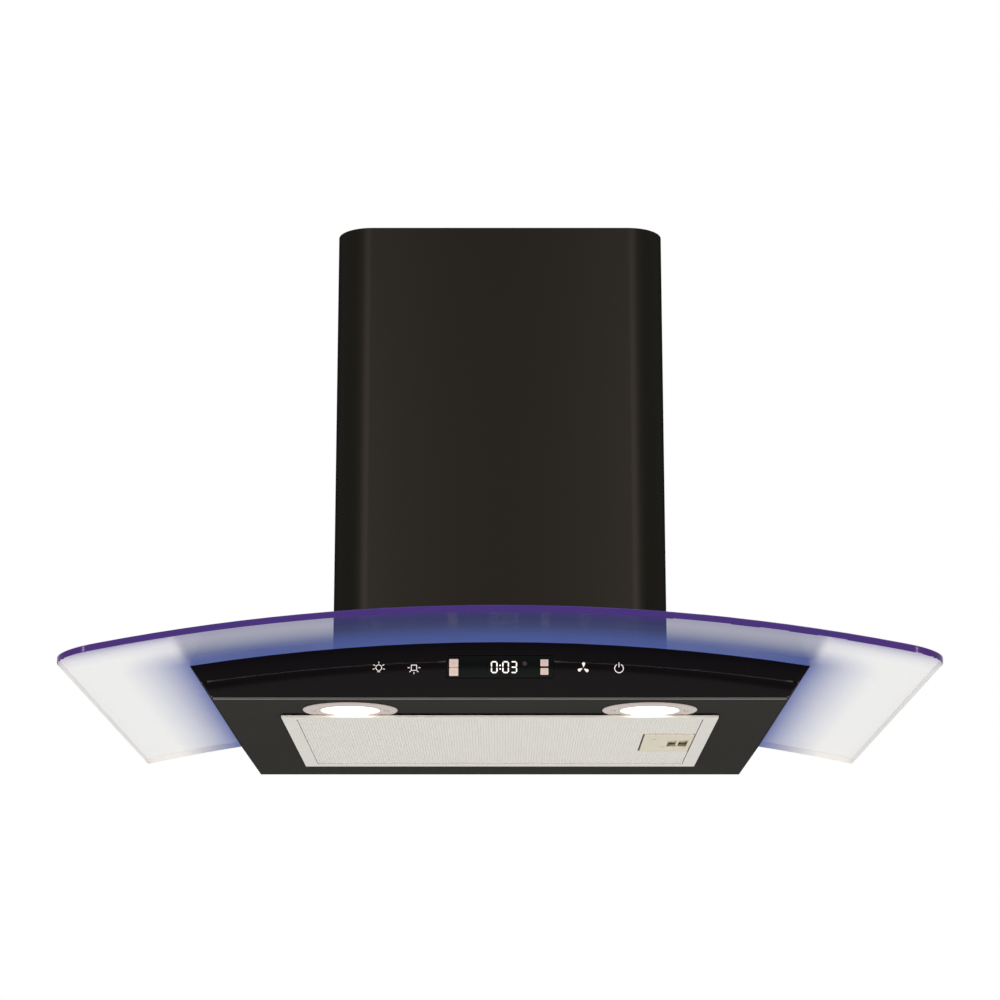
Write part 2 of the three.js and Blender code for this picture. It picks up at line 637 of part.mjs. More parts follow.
add('latch_plate', makeLatchPlate(), finishes.latch);

// Bolt with its finger pull.
function makeLatchSlider() {
  const half = LATCH_WIDTH / 2 - pocketWall - 6;
  const base = block(slider.x0, slider.x1, LATCH_Y - half, LATCH_Y + half, boltLow, boltHigh);
  const tip = FILTER_HOLE.x + BOLT_THROW;
  const bolt = block(slider.x1 - 1, tip, LATCH_Y - BOLT_WIDTH / 2, LATCH_Y + BOLT_WIDTH / 2, boltLow, boltHigh);
  const pullX = (fingerX0 + fingerX1) / 2;
  const pullY = LATCH_Y + FINGER_OFFSET - 1;
  const pull = block(pullX - 0.9, pullX + 0.9, pullY - PULL_LENGTH / 2, pullY + PULL_LENGTH / 2,
    FLANGE_BOTTOM + 0.6, boltLow + 0.2);
  return join(base, bolt, pull);
}
add('filter_latch', makeLatchSlider(), finishes.latch);

// Compression spring behind the bolt, one unbroken coil of square wire.
function makeLatchSpring() {
  const x0 = latch.x0 + pocketWall + GAP;
  const x1 = slider.x0 - GAP;
  const z = boltLow + BOLT_THICKNESS / 2;
  const turnsOf = SPRING_COILS;
  const steps = turnsOf * 8;
  const length = x1 - x0 - SPRING_WIRE;
  const points = [];
  for (let i = 0; i <= steps; i += 1) {
    const a = (2 * Math.PI * i) / 8;
    points.push(new THREE.Vector3(x0 + SPRING_WIRE / 2 + (length * i) / steps,
      LATCH_Y + SPRING_RADIUS * Math.cos(a), z + SPRING_RADIUS * Math.sin(a)));
  }
  const path = new THREE.CatmullRomCurve3(points);
  const wire = new THREE.Shape();
  for (let k = 0; k < 5; k += 1) {
    const a = (2 * Math.PI * k) / 5;
    const at = [(SPRING_WIRE / 2) * Math.cos(a), (SPRING_WIRE / 2) * Math.sin(a)];
    if (k === 0) wire.moveTo(...at); else wire.lineTo(...at);
  }
  return toSolid(new THREE.ExtrudeGeometry(wire, { steps, extrudePath: path, bevelEnabled: false }));
}
add('latch_spring', makeLatchSpring(), finishes.steel);

// ---------------------------------------------------------------- places of the fan
const degrees = (a) => (a * Math.PI) / 180;
const housingTop = CHASSIS_TOP - CHASSIS_SHEET - GAP;
const sweep = 360 - TONGUE_ANGLE;

// Radius of the spiral wall at an angle: it grows evenly from the tongue round to the outlet.
const scrollRadius = (angle) => IMPELLER_RADIUS + SCROLL_START
  + ((SCROLL_END - SCROLL_START) * (angle - TONGUE_ANGLE)) / sweep;
const scrollRight = scrollRadius(360);
const FAN_X = -CHASSIS_HALF + CHASSIS_SHEET + FAN_CLEARANCE + SCROLL_WALL + scrollRadius(180);
const OUTLET_LEFT = FAN_X - OUTLET_OFFSET;
const COLLAR_X = FAN_X + COLLAR_OFFSET;
const INLET_RADIUS = IMPELLER_RADIUS - INLET_OVERLAP;

// ---------------------------------------------------------------- motor chassis
const plateFace = -WALL_PLATE_THICKNESS;
const chassisBack = plateFace - GAP;
const onGlass = GLASS_TOP_RADIUS + GAP;

function makeChassis() {
  const t = CHASSIS_SHEET;
  const half = CHASSIS_HALF;
  const outer = block(-half, half, -CHASSIS_DEPTH, chassisBack, 0, CHASSIS_TOP);
  const inner = block(-half + t, half - t, -CHASSIS_DEPTH + t, chassisBack - t, -1, CHASSIS_TOP - t);
  const below = archBand(GLASS_RADIUS - 60, onGlass, half + 40, -CHASSIS_DEPTH - 40, 10, 10);
  const reach = half + CHASSIS_FLANGE;
  const foot = plate(rounded(-reach, reach, -CHASSIS_DEPTH - CHASSIS_FLANGE, chassisBack, 3), 0, 90, 2)
    .intersect(archBand(onGlass, onGlass + t, reach + 5, -CHASSIS_DEPTH - 40, 10, 10));
  const walls = cut(outer, inner, below);
  const footRing = cut(foot, block(-half + t, half - t, -CHASSIS_DEPTH + t, -THROAT_REAR, 0, 90));
  const outlet = disc(COLLAR_RADIUS - COLLAR_WALL, CHASSIS_TOP - 10, CHASSIS_TOP + 10, 30)
    .translate([COLLAR_X, FAN_Y, 0]);
  const slotY = -TERMINAL_BOX_FRONT + TERMINAL_BOX[2] / 2;
  const slotZ = CHASSIS_TOP - 2 * WIRE_SLOT;
  const wiring = block(-half - 1, -half + t + 1, slotY, slotY + WIRE_SLOT, slotZ - WIRE_SLOT, slotZ);
  return cut(join(walls, footRing), outlet, wiring, ...screwHoles(SCREW_DIAMETER + 2 * GAP));
}
add('motor_chassis', makeChassis(), finishes.galvanised);

function keyhole(x, z) {
  const head = alongY(disc(KEYHOLE_HEAD / 2, -10, 10, 14)).translate([x, 0, z]);
  const neck = block(x - KEYHOLE_NECK / 2, x + KEYHOLE_NECK / 2, -10, 10, z, z + KEYHOLE_HEAD);
  const end = alongY(disc(KEYHOLE_NECK / 2, -10, 10, 12)).translate([x, 0, z + KEYHOLE_HEAD]);
  return join(head, neck, end);
}

function makeWallPlate() {
  const half = CHASSIS_HALF - WALL_PLATE_MARGIN;
  const top = CHASSIS_TOP + WALL_PLATE_RISE;
  const sheet = profile(rounded(-half, half, WALL_PLATE_BOTTOM, top, 8), plateFace, 0, 4);
  const holes = [-1, 1].map((side) => keyhole((side * KEYHOLE_SPACING) / 2, top - KEYHOLE_DROP));
  const lower = [-1, 1].map((side) => alongY(disc(3, -10, 10, 10))
    .translate([(side * KEYHOLE_SPACING) / 2, 0, WALL_PLATE_BOTTOM + 18]));
  return cut(sheet, ...holes, ...lower);
}
add('wall_plate', makeWallPlate(), finishes.galvanised);

// ---------------------------------------------------------------- glass screws
const headSeat = onGlass + CHASSIS_SHEET + GAP;
function makeGlassScrew(side, y) {
  const length = headSeat - (GLASS_RADIUS - DECK_DROP - SHEET - 6);
  const r = SCREW_DIAMETER / 2;
  const h = SCREW_HEAD / 2;
  const body = turned([[0, -length], [r, -length + 1], [r, 0], [h, 0], [h, 1.4], [h - 1.6, 2.8], [0, 3.1]], 10);
  const slot = block(-h, h, -0.6, 0.6, 1.9, 4);
  return atScrew(cut(body, slot), side, y, headSeat);
}
let screwNumber = 1;
for (const side of [-1, 1]) {
  for (const y of SCREW_Y) {
    add(`glass_screw_${screwNumber}`, makeGlassScrew(side, y), finishes.steel);
    screwNumber += 1;
  }
}

// ---------------------------------------------------------------- fan housing
// Outline of the scroll, inside or outside its wall. The outside one leaves the tongue solid.
function scrollOutline(offset, top = housingTop) {
  const s = new THREE.Shape();
  const steps = 18;
  s.moveTo(FAN_X + scrollRight + offset, top);
  s.lineTo(OUTLET_LEFT - offset, top);
  for (let i = offset > 0 ? 1 : 0; i <= steps; i += 1) {
    const angle = TONGUE_ANGLE + (sweep * i) / steps;
    const r = scrollRadius(angle) + offset;
    s.lineTo(FAN_X + r * Math.cos(degrees(angle)), FAN_Z + r * Math.sin(degrees(angle)));
  }
  return s;
}

const scrollFront = FAN_Y - SCROLL_DEPTH / 2;
const scrollBack = FAN_Y + SCROLL_DEPTH / 2;

// Flat cheek of the housing with its inlet, whose lip stands out on the side given as -1 or 1.
function makeScrollCheek(face, out) {
  const span = (a, b) => [Math.min(face + out * a, face + out * b), Math.max(face + out * a, face + out * b)];
  const sheet = profile(scrollOutline(SCROLL_WALL), ...span(-SCROLL_WALL, 0));
  const atFan = (solid) => alongY(solid).translate([FAN_X, 0, FAN_Z]);
  const inlet = atFan(disc(INLET_RADIUS, ...span(-5, 5), 26));
  const lip = atFan(ring(INLET_RADIUS, INLET_RADIUS + SCROLL_WALL, ...span(-1, INLET_LIP), 26));
  return join(cut(sheet, inlet), lip);
}

// Spiral wall between the cheeks, open at the top.
function makeScrollWrap() {
  const y0 = scrollFront + SCROLL_WALL + GAP;
  const y1 = scrollBack - SCROLL_WALL - GAP;
  return cut(profile(scrollOutline(SCROLL_WALL), y0, y1), profile(scrollOutline(0, housingTop + 1), y0 - 1, y1 + 1));
}
add('scroll_cheek_front', makeScrollCheek(scrollFront, -1), finishes.plasticGrey);
add('scroll_wrap', makeScrollWrap(), finishes.plasticGrey);
add('scroll_cheek_rear', makeScrollCheek(scrollBack, 1), finishes.plasticGrey);

// ---------------------------------------------------------------- double-inlet wheel and motor
const wheelHalf = SCROLL_DEPTH / 2 - SCROLL_WALL - IMPELLER_CLEARANCE;
const bladeInner = IMPELLER_RADIUS - BLADE_CHORD;
const motorBack = SCROLL_DEPTH / 2 + MOTOR_OVERHANG;
const motorFront = motorBack - MOTOR_LENGTH;

// One blade, curved forward in the direction of rotation.
function makeBlade(y0, y1) {
  const steps = 2;
  const curl = 0.34;
  const edge = (side) => Array.from({ length: steps + 1 }, (_, i) => {
    const t = i / steps;
    const r = bladeInner + (BLADE_CHORD - 0.6) * t;
    const a = curl * t * t + (side * BLADE_THICKNESS) / 2 / r;
    return new THREE.Vector2(r * Math.cos(a), r * Math.sin(a));
  });
  return profile(new THREE.Shape([...edge(1), ...edge(-1).reverse()]), y0, y1);
}

// Ring of blades between a rim and the ring that seats on the wheel disc.
function makeBladeRing() {
  const y0 = -wheelHalf;
  const y1 = -WHEEL_DISC / 2 - GAP;
  const one = makeBlade(y0 + 0.5, y1 - 0.5);
  const blades = Array.from({ length: BLADES }, (_, i) => one.rotate([0, (360 * i) / BLADES, 0]));
  const rim = alongY(ring(bladeInner, IMPELLER_RADIUS, y0, y0 + IMPELLER_RIM, BLADES));
  const seat = alongY(ring(bladeInner, IMPELLER_RADIUS, y1 - IMPELLER_RIM / 2, y1, BLADES));
  return join(rim, seat, ...blades);
}

function makeWheelDisc() {
  const web = alongY(disc(IMPELLER_RADIUS, -WHEEL_DISC / 2, WHEEL_DISC / 2, BLADES));
  const hub = alongY(disc(HUB_RADIUS, -HUB_FRONT, motorFront - 4, 16));
  return cut(join(web, hub), alongY(disc(SHAFT_RADIUS + GAP, -40, 40, 12)));
}
const bladeRing = makeBladeRing();
const fanPlace = [FAN_X, FAN_Y, FAN_Z];
add('impeller_front', bladeRing, finishes.plasticBlack, hood, fanPlace);
add('impeller_disc', makeWheelDisc(), finishes.plasticBlack, hood, fanPlace);
add('impeller_rear', bladeRing.mirror([0, 1, 0]), finishes.plasticBlack, hood, fanPlace);

// Motor in the rear inlet with its shaft running forward through the hub.
function makeMotor() {
  const r = MOTOR_RADIUS;
  const y0 = motorFront;
  const y1 = motorBack;
  const shell = alongY(turned([
    [0, y0], [r - 12, y0], [r - 8, y0 + 5], [r - 1, y0 + 9], [r, y0 + 12], [r, y1 - 12], [r - 1, y1 - 9],
    [r - 8, y1 - 5], [r - 12, y1], [0, y1],
  ], 20));
  const shaft = alongY(disc(SHAFT_RADIUS, -HUB_FRONT - 14, y0 + 1, 20));
  const nut = alongY(disc(SHAFT_RADIUS + 3, -HUB_FRONT - GAP - 5.7, -HUB_FRONT - GAP, 6));
  const vents = [];
  for (let i = 0; i < 6; i += 1) {
    const vent = block(-2.5, 2.5, y1 - 16, y1 - 4, r - 4.5, r + 2);
    vents.push(vent.rotate([0, 60 * i + 30, 0]));
  }
  return join(cut(shell, ...vents), shaft, nut);
}
add('fan_motor', makeMotor(), finishes.galvanised, hood, fanPlace);

// Three-arm spider on the rear cheek that carries the motor.
function makeMotorBracket() {
  const face = motorBack + GAP;
  const cheek = SCROLL_DEPTH / 2 + GAP;
  const hubRing = alongY(ring(14, MOTOR_RADIUS - 12, face, face + 2.4, 18));
  const reach = INLET_RADIUS + 16;
  const arms = [90, 210, 330].map((angle) => {
    const bar = block(-7, 7, face, face + 2.4, 20, reach);
    const drop = block(-7, 7, cheek, face + 2.4, INLET_RADIUS + 4, reach);
    return join(bar, drop).rotate([0, 90 - angle, 0]);
  });
  return join(hubRing, ...arms);
}
add('motor_bracket', makeMotorBracket(), finishes.galvanised, hood, fanPlace);

// ---------------------------------------------------------------- outlet collar and flaps
const outlet = new THREE.Group();
outlet.position.set(COLLAR_X, FAN_Y, 0);
hood.add(outlet);
const bore = COLLAR_RADIUS - COLLAR_WALL;
const collarBase = CHASSIS_TOP + GAP;
const COLLAR_TOP = CHASSIS_TOP + COLLAR_HEIGHT;
const FLAP_Z = CHASSIS_TOP + FLAP_HEIGHT;

// Spigot with a rolled edge for the duct, and a ledge that the flaps fall on.
function makeCollar() {
  const body = turned([
    [bore, collarBase], [COLLAR_RADIUS + COLLAR_FLANGE, collarBase],
    [COLLAR_RADIUS + COLLAR_FLANGE, collarBase + 2], [COLLAR_RADIUS, collarBase + 2],
    [COLLAR_RADIUS, COLLAR_TOP - 6], [COLLAR_RADIUS - 0.8, COLLAR_TOP], [bore, COLLAR_TOP],
    [bore, FLAP_Z - FLAP_THICKNESS / 2 - GAP], [bore - LEDGE_WIDTH, FLAP_Z - FLAP_THICKNESS / 2 - GAP],
    [bore - LEDGE_WIDTH, FLAP_Z - FLAP_THICKNESS / 2 - GAP - 1.6], [bore, FLAP_Z - FLAP_THICKNESS / 2 - GAP - 4],
    [bore, collarBase],
  ], 30);
  const pinHole = alongY(disc(PIN_RADIUS + GAP, -COLLAR_RADIUS - 5, COLLAR_RADIUS + 5, 10)).translate([0, 0, FLAP_Z]);
  const knuckle = alongY(disc(BARREL_RADIUS + 1, -bore, bore, 12)).translate([0, 0, FLAP_Z]);
  return cut(body, pinHole, knuckle);
}
add('outlet_collar', makeCollar(), finishes.plasticBlack, outlet);
add('damper_pin', alongY(disc(PIN_RADIUS, -COLLAR_RADIUS + 0.2, COLLAR_RADIUS - 0.2, 12)), finishes.steel,
  outlet, [0, 0, FLAP_Z]);

// Half-round flap with two knuckles on the pin. The other flap is the same piece turned half round,
// so the knuckles of the two take turns along the pin.
function makeFlap() {
  const radius = bore - FLAP_CLEARANCE;
  const root = BARREL_RADIUS + 0.5;
  const s = new THREE.Shape();
  const start = Math.acos(root / radius);
  s.moveTo(root, -radius * Math.sin(start));
  s.absarc(0, 0, radius, -start, start);
  const leaf = plate(s, -FLAP_THICKNESS / 2, FLAP_THICKNESS / 2, 20);
  const knuckles = [-2 * BARREL_LENGTH - 4, 2].map((y) => {
    const barrel = alongY(disc(BARREL_RADIUS, y, y + BARREL_LENGTH, 12));
    const web = block(0, root + 2, y, y + BARREL_LENGTH, -FLAP_THICKNESS / 2, FLAP_THICKNESS / 2);
    return join(barrel, web);
  });
  const hole = alongY(disc(PIN_RADIUS + GAP, -80, 80, 12));
  const rib = block(FLAP_RIB, FLAP_RIB + 2, -radius * 0.72, radius * 0.72, 0, 3);
  return cut(join(leaf, ...knuckles, rib), hole);
}
const flap = makeFlap();
add('damper_flap_right', flap, finishes.plasticGrey, outlet, [0, 0, FLAP_Z]);
const turnedFlap = add('damper_flap_left', flap, finishes.plasticGrey, outlet, [0, 0, FLAP_Z]);
turnedFlap.rotation.z = Math.PI;

// ---------------------------------------------------------------- electrics on the chassis side
const boxTop = CHASSIS_TOP + GAP + TERMINAL_BOX[1];
function makeTerminalBox() {
  const [w, , d] = TERMINAL_BOX;
  const x0 = -CHASSIS_HALF + TERMINAL_BOX_INSET;
  const y0 = -TERMINAL_BOX_FRONT;
  const shell = block(x0, x0 + w, y0, y0 + d, CHASSIS_TOP + GAP, boxTop - 2);
  const lid = block(x0 - 0.8, x0 + w + 0.8, y0 - 0.8, y0 + d + 0.8, boxTop - 3, boxTop);
  const hole = disc(GLAND_RADIUS - 2 + GAP, -6 - GAP, 20, 12).translate([x0 + w / 2, y0 + d / 2, boxTop]);
  return cut(join(shell, lid), hole);
}
add('terminal_box', makeTerminalBox(), finishes.plasticWhite);

function makeGland() {
  const r = GLAND_RADIUS;
  return turned([
    [r - 4.5, -6], [r - 2, -6], [r - 2, GAP], [r, GAP], [r, 6], [r - 1.5, 8], [r - 2.5, 13],
    [r - 4.5, 13], [r - 4.5, -6],
  ], 12);
}
add('cable_gland', makeGland(), finishes.plasticBlack, hood,
  [-CHASSIS_HALF + TERMINAL_BOX_INSET + TERMINAL_BOX[0] / 2, -TERMINAL_BOX_FRONT + TERMINAL_BOX[2] / 2, boxTop]);

function makeCapacitor() {
  const r = CAPACITOR_RADIUS;
  return turned([[0, 0], [r - 1, 0], [r, 1], [r, CAPACITOR_LENGTH - 1], [r - 1, CAPACITOR_LENGTH],
    [4, CAPACITOR_LENGTH], [4, CAPACITOR_LENGTH + 4], [0, CAPACITOR_LENGTH + 4]], 16);
}
add('capacitor', makeCapacitor(), finishes.plasticWhite, hood,
  [-CHASSIS_HALF + CAPACITOR_INSET, CAPACITOR_Y, CHASSIS_TOP + GAP]);

// ---------------------------------------------------------------- chimney
// Folded sheet with rounded front corners and narrow return lips at the wall.
function chimneySheet(half, front, rear, corner, lip, t) {
  const s = new THREE.Shape();
  s.moveTo(-half + lip, rear);
  s.lineTo(-half, rear);
  s.lineTo(-half, front + corner);
  s.absarc(-half + corner, front + corner, corner, Math.PI, 1.5 * Math.PI);
  s.lineTo(half - corner, front);
  s.absarc(half - corner, front + corner, corner, -Math.PI / 2, 0);
  s.lineTo(half, rear);
  s.lineTo(half - lip, rear);
  s.lineTo(half - lip, rear - t);
  s.lineTo(half - t, rear - t);
  s.lineTo(half - t, front + corner);
  s.absarc(half - corner, front + corner, corner - t, 0, -Math.PI / 2, true);
  s.lineTo(-half + corner, front + t);
  s.absarc(-half + corner, front + corner, corner - t, 1.5 * Math.PI, Math.PI, true);
  s.lineTo(-half + t, rear - t);
  s.lineTo(-half + lip, rear - t);
  return s;
}

const lowerHalf = CHIMNEY_WIDTH / 2;
function makeLowerChimney() {
  const sheet = plate(chimneySheet(lowerHalf, -CHIMNEY_DEPTH, 0, CHIMNEY_CORNER, CHIMNEY_LIP, SHEET),
    20, CHIMNEY_TOP, 8);
  const glassBelow = archBand(GLASS_RADIUS - 60, GLASS_TOP_RADIUS + GAP + 0.1, lowerHalf + 20,
    -CHIMNEY_DEPTH - 10, 10, 24);
  return cut(sheet, glassBelow);
}
add('chimney_lower', makeLowerChimney(), finishes.blackPaint);

const inset = SHEET + SLIDE_CLEARANCE;
const upperHalf = lowerHalf - inset;
const upperFront = -CHIMNEY_DEPTH + inset;
const upperTop = CHIMNEY_TOP - UPPER_DROP;
const upperLip = CHIMNEY_LIP + 2;
const bracketTop = upperTop - 4;
const bracketMiddle = bracketTop - BRACKET_HEIGHT / 2;
function makeUpperChimney() {
  const outline = chimneySheet(upperHalf, upperFront, -UPPER_REAR, CHIMNEY_CORNER - inset, upperLip, SHEET);
  const sheet = plate(outline, UPPER_BOTTOM, upperTop, 8);
  const holes = [-1, 1].map((side) => alongX(disc(2.5, -8, 8, 12))
    .translate([side * upperHalf, BRACKET_SCREW_Y, bracketMiddle]));
  return cut(sheet, ...holes);
}
add('chimney_upper', makeUpperChimney(), finishes.blackPaint);

// Wall bracket inside the top of the upper chimney: it lies on the wall between the return lips and
// steps forward round them to the sides.
const bracketHalf = upperHalf - SHEET - GAP;
const bracketRear = -UPPER_REAR - SHEET - GAP;
function makeChimneyBracket() {
  const t = BRACKET_SHEET;
  const z0 = bracketTop - BRACKET_HEIGHT;
  const inner = upperHalf - upperLip - 2.2;
  const back = block(-inner, inner, -t, 0, z0, bracketTop);
  const arms = [-1, 1].map((side) => {
    const piece = (a, b, y0, y1) => block(Math.min(side * a, side * b), Math.max(side * a, side * b), y0, y1,
      z0, bracketTop);
    const riser = piece(inner - t, inner, bracketRear - t, -t / 2);
    const shelf = piece(inner - t, bracketHalf, bracketRear - t, bracketRear);
    const arm = piece(bracketHalf - t, bracketHalf, -BRACKET_REACH, bracketRear - t / 2);
    return join(riser, shelf, arm);
  });
  const holes = [-1, 1].map((side) => alongX(disc(2, -8, 8, 12))
    .translate([side * bracketHalf, BRACKET_SCREW_Y, bracketMiddle]));
  const wallHoles = [-1, 1].map((side) => alongY(disc(3, -30, 30, 10))
    .translate([(side * BRACKET_HOLE_SPACING) / 2, 0, bracketMiddle]));
  return cut(join(back, ...arms), ...holes, ...wallHoles);
}
add('chimney_bracket', makeChimneyBracket(), finishes.galvanised);

// Screws that fix the chimney to its bracket, put in from inside the bracket arms.
for (const [side, label] of [[-1, 'left'], [1, 'right']]) {
  const screw = turned([[0, -9], [2.6, -8], [3.4, -6.2], [3.4, -5.6], [1.7, -5.6], [1.7, 0], [0, 0]], 12);
  const mesh = add(`bracket_screw_${label}`, screw, finishes.steel, hood,
    [side * (upperHalf - 0.5), BRACKET_SCREW_Y, bracketMiddle]);
  mesh.rotation.y = side * (Math.PI / 2);
}

const model = new THREE.Group();
model.add(hood);
export default model;
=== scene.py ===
import json
import math

import bmesh
import bpy
from bpy.props import FloatProperty, FloatVectorProperty, PointerProperty
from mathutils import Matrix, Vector

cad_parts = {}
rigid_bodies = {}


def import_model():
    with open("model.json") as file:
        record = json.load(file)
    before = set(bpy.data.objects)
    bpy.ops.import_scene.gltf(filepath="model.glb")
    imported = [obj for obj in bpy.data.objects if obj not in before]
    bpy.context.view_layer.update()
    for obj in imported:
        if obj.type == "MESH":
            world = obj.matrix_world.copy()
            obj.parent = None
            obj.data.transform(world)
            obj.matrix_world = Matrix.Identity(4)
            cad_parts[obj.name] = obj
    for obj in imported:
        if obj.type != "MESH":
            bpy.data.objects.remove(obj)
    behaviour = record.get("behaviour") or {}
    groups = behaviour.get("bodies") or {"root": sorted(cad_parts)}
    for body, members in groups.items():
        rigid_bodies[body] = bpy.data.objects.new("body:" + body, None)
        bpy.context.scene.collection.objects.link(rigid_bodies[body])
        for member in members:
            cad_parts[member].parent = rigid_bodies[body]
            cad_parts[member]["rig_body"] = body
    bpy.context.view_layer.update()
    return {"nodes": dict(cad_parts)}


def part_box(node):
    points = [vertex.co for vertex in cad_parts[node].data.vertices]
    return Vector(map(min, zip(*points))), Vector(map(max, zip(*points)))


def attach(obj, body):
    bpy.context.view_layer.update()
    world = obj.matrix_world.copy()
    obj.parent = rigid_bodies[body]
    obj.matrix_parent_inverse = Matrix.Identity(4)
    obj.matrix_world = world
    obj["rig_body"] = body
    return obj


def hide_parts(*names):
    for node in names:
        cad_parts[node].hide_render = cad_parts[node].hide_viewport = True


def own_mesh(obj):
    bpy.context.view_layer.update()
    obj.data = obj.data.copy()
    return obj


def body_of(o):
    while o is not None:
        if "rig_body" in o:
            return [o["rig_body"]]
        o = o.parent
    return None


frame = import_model()

bl_info = {
    "name": "Curved glass range hood",
    "version": (1, 0, 0),
    "blender": (4, 5, 0),
    "location": "View3D > Sidebar > Hood",
    "description": "Dresses the packed hood with finishes, marks, lights and a stage",
    "category": "Object",
}

SLOT_OF = {name: node.data.materials[0].name for name, node in frame["nodes"].items()}

# places in the part's frame, in metres
UNDERSIDE = -0.3        # underside of the body
BODY_FRONT = -0.397     # face of the fascia
BODY_HALF = 0.2195      # half the width of the body where it meets the glass
GLASS_FRONT = -0.506    # front rim of the glass
GLASS_HALF = 0.300      # half the width of the glass

SMOOTH_ANGLE = 34.0     # edges past this angle stay sharp
BEVEL_ANGLE = 38.0      # edges past this angle are rounded


def linear(*levels):
    """Scene-linear colour of an 8-bit screen colour."""
    shares = [level / 255 for level in levels]
    return tuple(s / 12.92 if s <= 0.04045 else ((s + 0.055) / 1.055) ** 2.4 for s in shares)


def grey(value):
    """A neutral scene-linear colour."""
    return (value, value, value)


def scaled(base, factor, lift=0.0):
    """A colour times a factor, raised by a lift."""
    return tuple(min(1.0, c * factor + lift) for c in base)


def tinted(base, factors):
    """A colour with a factor for each of its three parts."""
    return tuple(min(1.0, c * k) for c, k in zip(base, factors))


# ------------------------------ settings
def colour(name, description, default):
    """A colour that a user may change."""
    return FloatVectorProperty(name=name, description=description, subtype="COLOR", size=3,
                               min=0.0, max=1.0, default=default)


def length(name, description, default, low=0.0):
    """A length in metres that a user may change."""
    return FloatProperty(name=name, description=description, default=default, min=low,
                         subtype="DISTANCE", unit="LENGTH", precision=4)


def share(name, description, default, high=1.0):
    """A plain factor that a user may change."""
    return FloatProperty(name=name, description=description, default=default, min=0.0, max=high,
                         subtype="FACTOR")


def power(name, description, default):
    """A lamp's power in watts."""
    return FloatProperty(name=name, description=description, default=default, min=0.0, unit="POWER")


class HoodFinishes(bpy.types.PropertyGroup):
    """Colours of the painted, pressed and moulded pieces."""

    chimney: colour("Chimney paint", "Satin black of the telescoping chimney", linear(10, 9, 5))
    canopy: colour("Canopy paint", "Satin black of the body and its underside", linear(54, 54, 52))
    fascia: colour("Fascia", "Gloss black of the fascia and the touch panel", linear(13, 11, 12))
    trim: colour("Trim", "Brushed strip under the touch panel", linear(69, 68, 67))
    aluminium: colour("Filter frame", "Pressed aluminium of the grease filter", linear(232, 232, 224))
    screen: colour("Filter screen", "Fine aluminium screen of the grease filter", linear(236, 236, 230))
    latch: colour("Latch", "Moulded latch of the grease filter", linear(224, 219, 199))
    bezel: colour("Lamp bezel", "Satin ring round each lamp", linear(212, 199, 192))
    zinc: colour("Zinc", "Spangled sheet of the fan box", linear(172, 176, 180))
    fan_plastic: colour("Fan housing", "Moulded grey of the scroll and the flaps", linear(92, 94, 98))
    wheel_plastic: colour("Fan wheel", "Moulded black of the impeller", linear(34, 34, 37))
    paint_gloss: share("Paint roughness", "Roughness of the gloss on the chimney paint", 0.41)


class HoodGlass(bpy.types.PropertyGroup):
    """The arched glass and the painted glow at its edges."""

    tint: colour("Tint", "Tint of the clear glass", linear(126, 124, 112))
    # rim, glow and front glow are colours of painted glow on the glass and its edges; the glow opacity and
    # the reaches set where it is painted
    rim: colour("Rim", "Polished front edge", linear(46, 31, 88))
    edge: colour("Side edge", "Polished side and rear edges", linear(224, 224, 221))
    glow: colour("Glow", "Light that leaves the light guides", (0.085, 0.125, 0.39))
    front_glow: colour("Front glow", "Light that gathers behind the front rim", (0.075, 0.035, 0.33))
    clear: share("Haze", "Opacity of the glass away from the lights", 0.13)
    glow_share: share("Glow opacity", "Opacity of the glass next to the body", 0.98)
    glow_reach: length("Glow reach", "How far the light reaches from the body", 0.050)
    rim_reach: length("Rim reach", "How far the light reaches behind the front rim", 0.050)


class HoodMarks(bpy.types.PropertyGroup):
    """Printed and lit marks on the touch panel."""

    ink: colour("Marks", "Printed touch symbols", linear(226, 222, 218))
    key: colour("Keys", "Pale touch keys", linear(196, 180, 172))
    digit: colour("Digits", "Lit digits of the clock", linear(236, 232, 226))
    stroke: length("Stroke", "Width of the printed lines", 0.00048, 0.0002)
    digit_stroke: length("Digit stroke", "Width of a digit's bars", 0.00092, 0.0003)
    relief: length("Relief", "How far the print stands proud", 0.00012, 0.00002)


class HoodFilter(bpy.types.PropertyGroup):
    """The fine screen in the mouth of the grease filter."""

    pitch: length("Pleat pitch", "Distance between the fine pleats of the screen", 0.0021, 0.001)
    depth: length("Pleat depth", "Depth of the fine pleats", 0.0007, 0.0001)
    sheet: length("Sheet", "Thickness of the screen", 0.00025, 0.0001)


class HoodStage(bpy.types.PropertyGroup):
    """Floor, lamps and camera."""

    floor: length("Floor level", "Height of the floor in the part's frame", -1.9, -3.0)
    fill: share("Fill", "Level of the light from all round", 0.53, 2.0)
    side_lamp: power("Side lamps", "Power of each of the two front lamps", 75.0)
    warmth: colour("Side lamp colour", "Slightly warm light of the front lamps", (1.0, 0.86, 0.78))
    top_lamp: power("Top lamp", "Power of the overhead lamp", 26.0)
    lens: FloatProperty(name="Lens", description="Focal length of the camera in millimetres", default=96.8,
                        min=10.0, subtype="DISTANCE_CAMERA", unit="CAMERA")
    tilt: FloatProperty(name="Tilt", description="How far the camera looks up",
                        default=math.radians(13.55), subtype="ANGLE", unit="ROTATION")
    distance: length("Distance", "Camera in front of the wall", 2.279)
    height: length("Height", "Camera height in the part's frame", -0.609, -3.0)


# ------------------------------ finishes
def maths(operation, swapped=False):
    """A method that adds a Math node for a value and the other one, if there is one."""
    def method(self, *other):
        values = (*other, self) if swapped else (self, *other)
        return self.recipe.node("ShaderNodeMath", {"operation": operation}, values)
    return method


